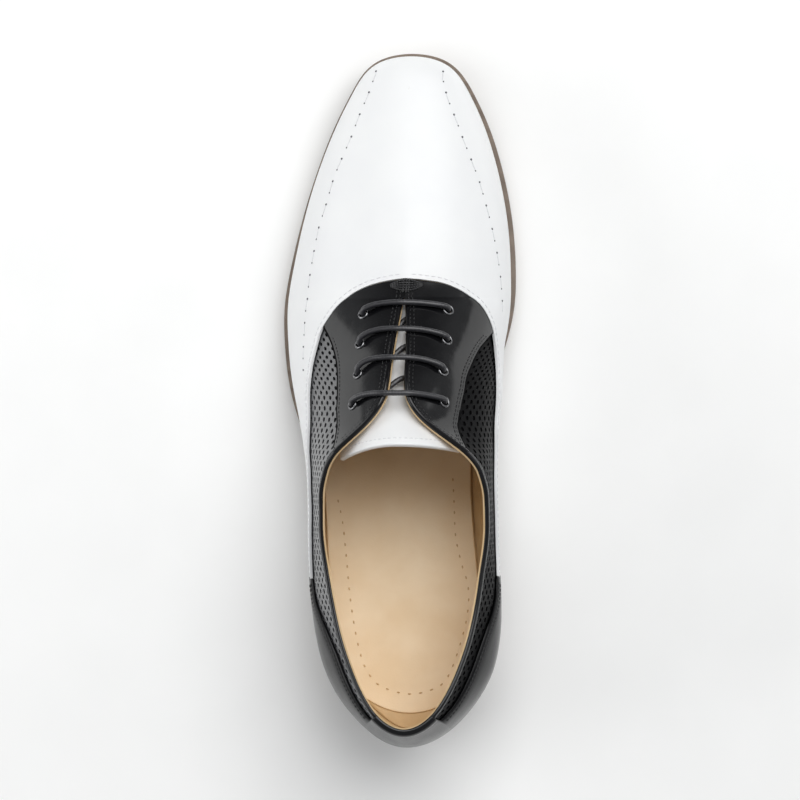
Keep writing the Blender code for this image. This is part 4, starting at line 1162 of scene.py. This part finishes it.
def lace_place(column, row):
    """Places on a tube round the route, with crossing ridges like a braid's."""
    angle = row / LACE_SIDES * FULL_TURN
    phase = lace_run[column] / BRAID_STEP * FULL_TURN
    thick = LACE_RADIUS * (1.0 + BRAID_RIDGE * np.cos(2.0 * angle + phase) * np.cos(2.0 * angle - phase))
    away = first[column] * np.cos(angle)[:, None] + second[column] * np.sin(angle)[:, None]
    return lace_route[column] + away * thick[:, None]


bm = close_ends(sheet(len(lace_route) - 1, LACE_SIDES, lace_place))
add_piece("waxed_lace", bm, [waxed_cotton], "waxed_cord", "lace")

# %% [markdown]
# ## Thread
# Every seam of the upper is sewn, and the thread is what makes a seam read as one. A stitch is a short
# bead of thread, pressed into the leather. A texture of dashes would lie flat and would stretch at bends,
# so each stitch is a small mesh that is set along the seam line, and one object holds a whole seam.

# %% Thread finishes
# Bonded polyester thread: smooth, in white, black and tan, light on the crown of its twist and darker
# between; the last one is the shade inside a needle hole
white_thread, black_thread, tan_thread, needle_shade = (
    plain_finish(name, 0.35, 2.0, colours, roughness, 0.05, stops=(0.35, 0.65))
    for name, colours, roughness in (
        ("white_polyester_thread", ("#cfcfd2", "#e2e2e4"), 0.5),
        ("black_polyester_thread", ("#08080a", "#17171a"), 0.35),
        ("tan_polyester_thread", ("#c4a274", "#d8bc90"), 0.6),
        ("shaded_needle_hole", ("#4c4c52", "#66666c"), 0.8)))
print("threads:", white_thread.name, black_thread.name, tan_thread.name, needle_shade.name)

# %% Seam lines and stitches
BEAD_SIDES, BEAD_RINGS, BEAD_FLATNESS = 6, 4, 0.8


def seam_line(turns, rises, lift, aside=0.0):
    """Points and normals of a line on the skin, moved aside; with turns going up, plus is upwards."""
    base = skin(turns, rises, lift)
    normal = skin(turns, rises, lift + 1.0) - base
    return base + unit(np.cross(normal, np.gradient(base, axis=0))) * aside, normal


def sew(bm, line, normal, pitch, length, radius, first=0.5):
    """Stitches along a line: each is a bead, drawn out along the line and pressed a little flat."""
    run = run_along(line)
    spots = np.arange(first * pitch, run[-1], pitch)
    rows = [read_at(spots, run, values) for values in (line, np.gradient(line, axis=0), normal)]
    for spot, along, up in zip(*rows):
        along = Vector(along).normalized()
        side = Vector(up).cross(along).normalized()
        up = along.cross(side)
        bead = Matrix((side * radius, up * radius * BEAD_FLATNESS, along * length / 2.0)).transposed() * MM
        bmesh.ops.create_uvsphere(bm, u_segments=BEAD_SIDES, v_segments=BEAD_RINGS, radius=1.0,
                                  matrix=Matrix.Translation(to_frame(spot)) @ bead.to_4x4())
    return len(spots)


def finish_seam(name, bm, material, slot):
    """The object of a sewn seam."""
    bmesh.ops.recalc_face_normals(bm, faces=bm.faces)
    add_piece(name, bm, [material], slot)


print("a stitch is a bead of", BEAD_SIDES * BEAD_RINGS, "faces")

# %% [markdown]
# ## Sewn seams
# The vamp has a white row just inside its edge. The facings have two black rows along the slit and along
# their rear edge. The counter and the collar strip are sewn in black, the tongue in white along its top.
# Rows keep an even distance from the cut edge, as the guide on a sewing machine does.

# %% Vamp seam
# A kind of stitch is its pitch, its length and its radius
VAMP_STITCH, VAMP_MARGIN, ON_TOP = (2.8, 2.1, 0.28), 2.0, 0.02
VAMP_TOP = OVERLAY_LIFT + VAMP_THICKNESS
bm = bmesh.new()
for wing in (vamp_side, -vamp_side):
    part = wing[station_of(wing) < VAMP_SEAM[-1][0]]
    part = part[np.argsort(np.mod(part, FULL_TURN))]
    seam = seam_line(part, pattern_line(VAMP_SEAM, part), VAMP_TOP + ON_TOP, -VAMP_MARGIN)
    print("stitches on a wing:", sew(bm, *seam, *VAMP_STITCH))
finish_seam("vamp_seam_thread", bm, white_thread, "white_calf")

# %% Facing seams
FACING_STITCH, SLIT_ROWS, REAR_ROWS = (2.0, 1.5, 0.24), (1.5, 3.0), {False: (2.0,), True: (1.8, 3.2)}
FACING_TOP = OVERLAY_LIFT + FACING_THICKNESS
bm = bmesh.new()
for side, medial in SIDES:
    slit = side_turns(medial, (199.0, 132.0, 300))
    edge = 1.0 - share(slit, FACING_INSET)
    for aside in SLIT_ROWS:
        sew(bm, *seam_line(slit, edge, FACING_TOP + ON_TOP, -aside), *FACING_STITCH)
    rear = side_turns(medial, (176.0, 131.0, 300))
    edge = pattern_line(FACING_REAR, rear)
    for aside in REAR_ROWS[medial]:
        sew(bm, *seam_line(rear, edge, FACING_TOP + ON_TOP, aside), *FACING_STITCH)
finish_seam("facing_seam_thread", bm, black_thread, "black_calf")

# %% Counter, collar and tongue seams
COUNTER_STITCH, COUNTER_ROWS, COUNTER_ON_TOP = (2.0, 1.5, 0.28), (1.4, 2.9), 0.05
COLLAR_STITCH, COLLAR_DROP, COLLAR_LIFT = (2.0, 1.5, 0.22), 2.35, 0.66
bm = bmesh.new()
for side, medial in SIDES:
    top = side_turns(medial, (73.5, 15.5, 240))
    for aside in COUNTER_ROWS:
        swell = COUNTER_THICKNESS * math.sqrt(1.0 - (1.0 - aside / COUNTER_ROLL) ** 2)
        lift = OVERLAY_LIFT + swell + COUNTER_ON_TOP
        sew(bm, *seam_line(top, pattern_line(COUNTER_TOP, top), lift, -aside), *COUNTER_STITCH)
    collar = side_turns(medial, (128.0, 15.0, 400))
    sew(bm, *seam_line(collar, 1.0 - share(collar, COLLAR_DROP), COLLAR_LIFT), *COLLAR_STITCH)
finish_seam("counter_and_collar_thread", bm, black_thread, "black_calf")

TONGUE_STITCH, TONGUE_REACH, TONGUE_MARGIN, FURTHER_DOWN = (2.3, 1.6, 0.26), 0.93, 2.6, 135.0
across = np.linspace(-TONGUE_REACH, TONGUE_REACH, 200)
tongue_row = tongue_point(across, np.full_like(across, tongue_top + TONGUE_MARGIN))
down = tongue_point(across, np.full_like(across, FURTHER_DOWN)) - tongue_row
tongue_up = unit(np.cross(np.gradient(tongue_row, axis=0), down))
bm = bmesh.new()
sew(bm, tongue_row + tongue_up * ON_TOP, tongue_up, *TONGUE_STITCH)
finish_seam("tongue_seam_thread", bm, white_thread, "white_calf")

# %% [markdown]
# ## Running stitch, bar tack and sock stitches
# Two hand-sewn lines decorate the vamp: the thread comes up at one hole, goes down at the next and stays
# hidden to the third. At the throat a bar tack of crossing threads takes the strain of the lacing.
# The sock is held by a ring of spaced stitches. All three are set from the same bead.

# %% Running stitch on the vamp
DECOR_LATERAL = (
    # station, share of the rib
    (162.8, 0.420), (169.4, 0.420), (189.4, 0.435), (204.2, 0.445), (214.5, 0.455), (225.5, 0.465),
    (235.7, 0.490), (247.1, 0.505), (256.9, 0.530), (267.5, 0.555), (283.6, 0.560), (293.7, 0.520),
    (297.5, 0.425),
)
DECOR_MEDIAL = (
    # station, share of the rib
    (190.0, 0.400), (202.3, 0.415), (212.7, 0.440), (223.5, 0.470), (234.1, 0.495), (245.3, 0.520),
    (256.3, 0.555), (267.3, 0.585), (283.2, 0.605), (292.9, 0.560), (297.5, 0.435),
)
DECOR_PITCH, DECOR_START = 5.2, 297.0
holes, threads = bmesh.new(), bmesh.new()
for medial, table in ((False, DECOR_LATERAL), (True, DECOR_MEDIAL)):
    turns = turn_of(np.linspace(DECOR_START, table[0][0], 400))
    rises = steady(table, station_of(turns))[:, 0]
    line, normal = seam_line(FULL_TURN - turns if medial else turns, rises, VAMP_TOP)
    for bm, length, radius, first in (
            (holes, 1.0, 0.5, 0.25), (holes, 0.8, 0.36, 0.75), (threads, DECOR_PITCH - 0.6, 0.26, 0.5)):
        sew(bm, line, normal, 2.0 * DECOR_PITCH, length, radius, first)
finish_seam("running_stitch_holes", holes, needle_shade, "white_calf")
finish_seam("running_stitch_thread", threads, white_thread, "white_calf")

# %% Bar tack at the throat
TACK_STITCH, TACK_LIFT = (1.1, 1.6, 0.52), 0.35
TACK_SPAN, TACK_STATION, TACK_HEIGHT, TACK_BULGE = (-5.9, 6.8), 199.0, 0.35, 1.9


def throat_point(aside, station, lift):
    """Place on the facings near the throat, at a distance from the ridge; plus is medial."""
    turn = np.where(aside > 0.0, FULL_TURN - turn_of(station), turn_of(station))
    return skin(turn, 1.0 - share(turn, np.abs(aside)), lift)


def tack(bm, asides, stations):
    """One cord of the tack, in beads that overlap like the turns of a whipped thread."""
    line = throat_point(asides, stations, FACING_TOP + TACK_LIFT)
    sew(bm, line, throat_point(asides, stations, FACING_TOP + TACK_LIFT + 1.0) - line, *TACK_STITCH)


bm = bmesh.new()
span = np.linspace(*TACK_SPAN, 80)
bulge = 1.0 - ((span - np.mean(TACK_SPAN)) / np.ptp(TACK_SPAN) * 2.0) ** 2
for fan in (-1.0, -0.5, 0.0, 0.5, 1.0):
    tack(bm, span, TACK_STATION + fan * (TACK_HEIGHT + TACK_BULGE * bulge))
for aside in (-0.5, 0.45, 1.4):
    tack(bm, np.full(40, aside), np.linspace(201.7, 196.2, 40))
finish_seam("throat_bar_tack", bm, black_thread, "black_calf")

# %% Ring of stitches on the sock
SOCK_RING = (
    # how far along the ring, offset, station
    (0.0, -32.1, 109.6), (11.4, -29.5, 98.5), (26.8, -27.6, 83.2), (45.6, -25.6, 64.5), (72.1, -20.4, 38.9),
    (85.5, -12.6, 28.0), (99.0, 0.4, 24.6), (112.0, 12.8, 28.0), (126.0, 19.8, 40.0), (152.5, 25.3, 66.0),
    (157.0, 25.0, 70.5), (168.6, 21.8, 81.6), (181.6, 19.2, 94.3), (193.8, 18.6, 106.5), (205.3, 17.9, 118.0),
)
SOCK_STITCH = (4.85, 1.5, 0.4)
ring_plan = steady(SOCK_RING, np.linspace(0.0, SOCK_RING[-1][0], 400))
ring_line = np.column_stack([ring_plan, sole_top(ring_plan[:, 1]) + GAP + INSOLE_THICKNESS + ON_TOP])
bm = bmesh.new()
print("sock stitches:", sew(bm, ring_line, np.zeros_like(ring_line) + (0.0, 0.0, 1.0), *SOCK_STITCH))
finish_seam("sock_stitches", bm, tan_thread, "tan_lining")

# %% [markdown]
# ## Floor, light and camera
# The shoe is seen from straight above on a bright table. Black leather only shows what it reflects: the
# facings slope towards the toe, so the room is kept dark ahead of the toe, and a soft lamp at each side
# draws a grey band along their outer parts. One large lamp over the toe lights the white leather. An even
# bright dome would be simpler, but it would turn all of the black leather grey.

# %% Floor
# Matt white paper sweep: nearly white, with a barely visible tooth
paper = plain_finish("matt_paper_sweep", 40.0, 3.0, ("#fafaf9", "#fdfdfc"), 0.9)
FLOOR_HALF = 4.0
bm = bmesh.new()
bmesh.ops.create_grid(bm, x_segments=8, y_segments=8, size=FLOOR_HALF)
floor = add_object("paper_floor", bm, paper)
print("floor:", floor.dimensions.x, "m wide")

# %% Lamps and world
LAMP_TARGET = Vector((0.0, 0.0, 0.04))
LAMPS = (
    # name, place and size in metres, watts
    ("overhead_lamp", (0.5, 1.0, 1.8), (1.8, 1.7), 36.0), ("lateral_lamp", (-1.5, 0.1, 0.6), (1.4, 0.8), 9.5),
    ("medial_lamp", (1.5, 0.3, 0.8), (1.3, 0.8), 3.0),
)
for name, place, size, watts in LAMPS:
    lamp = bpy.data.lights.new(name, "AREA")
    lamp.shape, lamp.energy = "RECTANGLE", watts
    lamp.size, lamp.size_y = size
    holder = bpy.data.objects.new(name, lamp)
    holder.location = place
    holder.rotation_euler = (LAMP_TARGET - Vector(place)).to_track_quat("-Z", "Y").to_euler()
    holder.visible_camera = False
    bpy.context.scene.collection.objects.link(holder)

# The room is bright all round and dim in the directions ahead of the toe
world = bpy.data.worlds.new("studio_room")
world.use_nodes = True
tree = world.node_tree
ahead = add(tree, "ShaderNodeSeparateXYZ", {"Vector": add(tree, "ShaderNodeTexCoord").outputs["Object"]})
room = add(tree, "ShaderNodeMapRange", {
    "Value": ahead.outputs["Y"], "From Min": 0.55, "From Max": 0.85, "To Min": 0.35, "To Max": 0.12},
    interpolation_type="SMOOTHSTEP")
tree.nodes["Background"].inputs["Color"].default_value = linear("#f4f6f8")
tree.links.new(room.outputs["Result"], tree.nodes["Background"].inputs["Strength"])
bpy.context.scene.world = world
bpy.context.scene.view_settings.view_transform = "Standard"
print("lamps:", [name for name, *_ in LAMPS])

# %% Camera
CAMERA_DISTANCE, CAMERA_TILT, FRAME_WIDTH, SENSOR = 2400.0, 3.3, 349.0, 36.0
aim = Vector(to_frame([-6.1, 151.0, 0.0]))
tilt = math.radians(CAMERA_TILT)
away = Vector((math.sin(tilt), 0.0, math.cos(tilt)))
lens = bpy.data.cameras.new("table_camera")
lens.sensor_fit, lens.sensor_width = "HORIZONTAL", SENSOR
lens.lens = SENSOR * CAMERA_DISTANCE / FRAME_WIDTH
camera = bpy.data.objects.new("table_camera", lens)
camera.location = aim + away * CAMERA_DISTANCE * MM
right = Vector((0.0, 1.0, 0.0)).cross(away).normalized()
camera.rotation_euler = Matrix((right, away.cross(right), away)).transposed().to_euler()
bpy.context.scene.collection.objects.link(camera)
bpy.context.scene.camera = camera
print("camera:", [round(value, 3) for value in camera.location], "lens", round(lens.lens, 1), "mm")
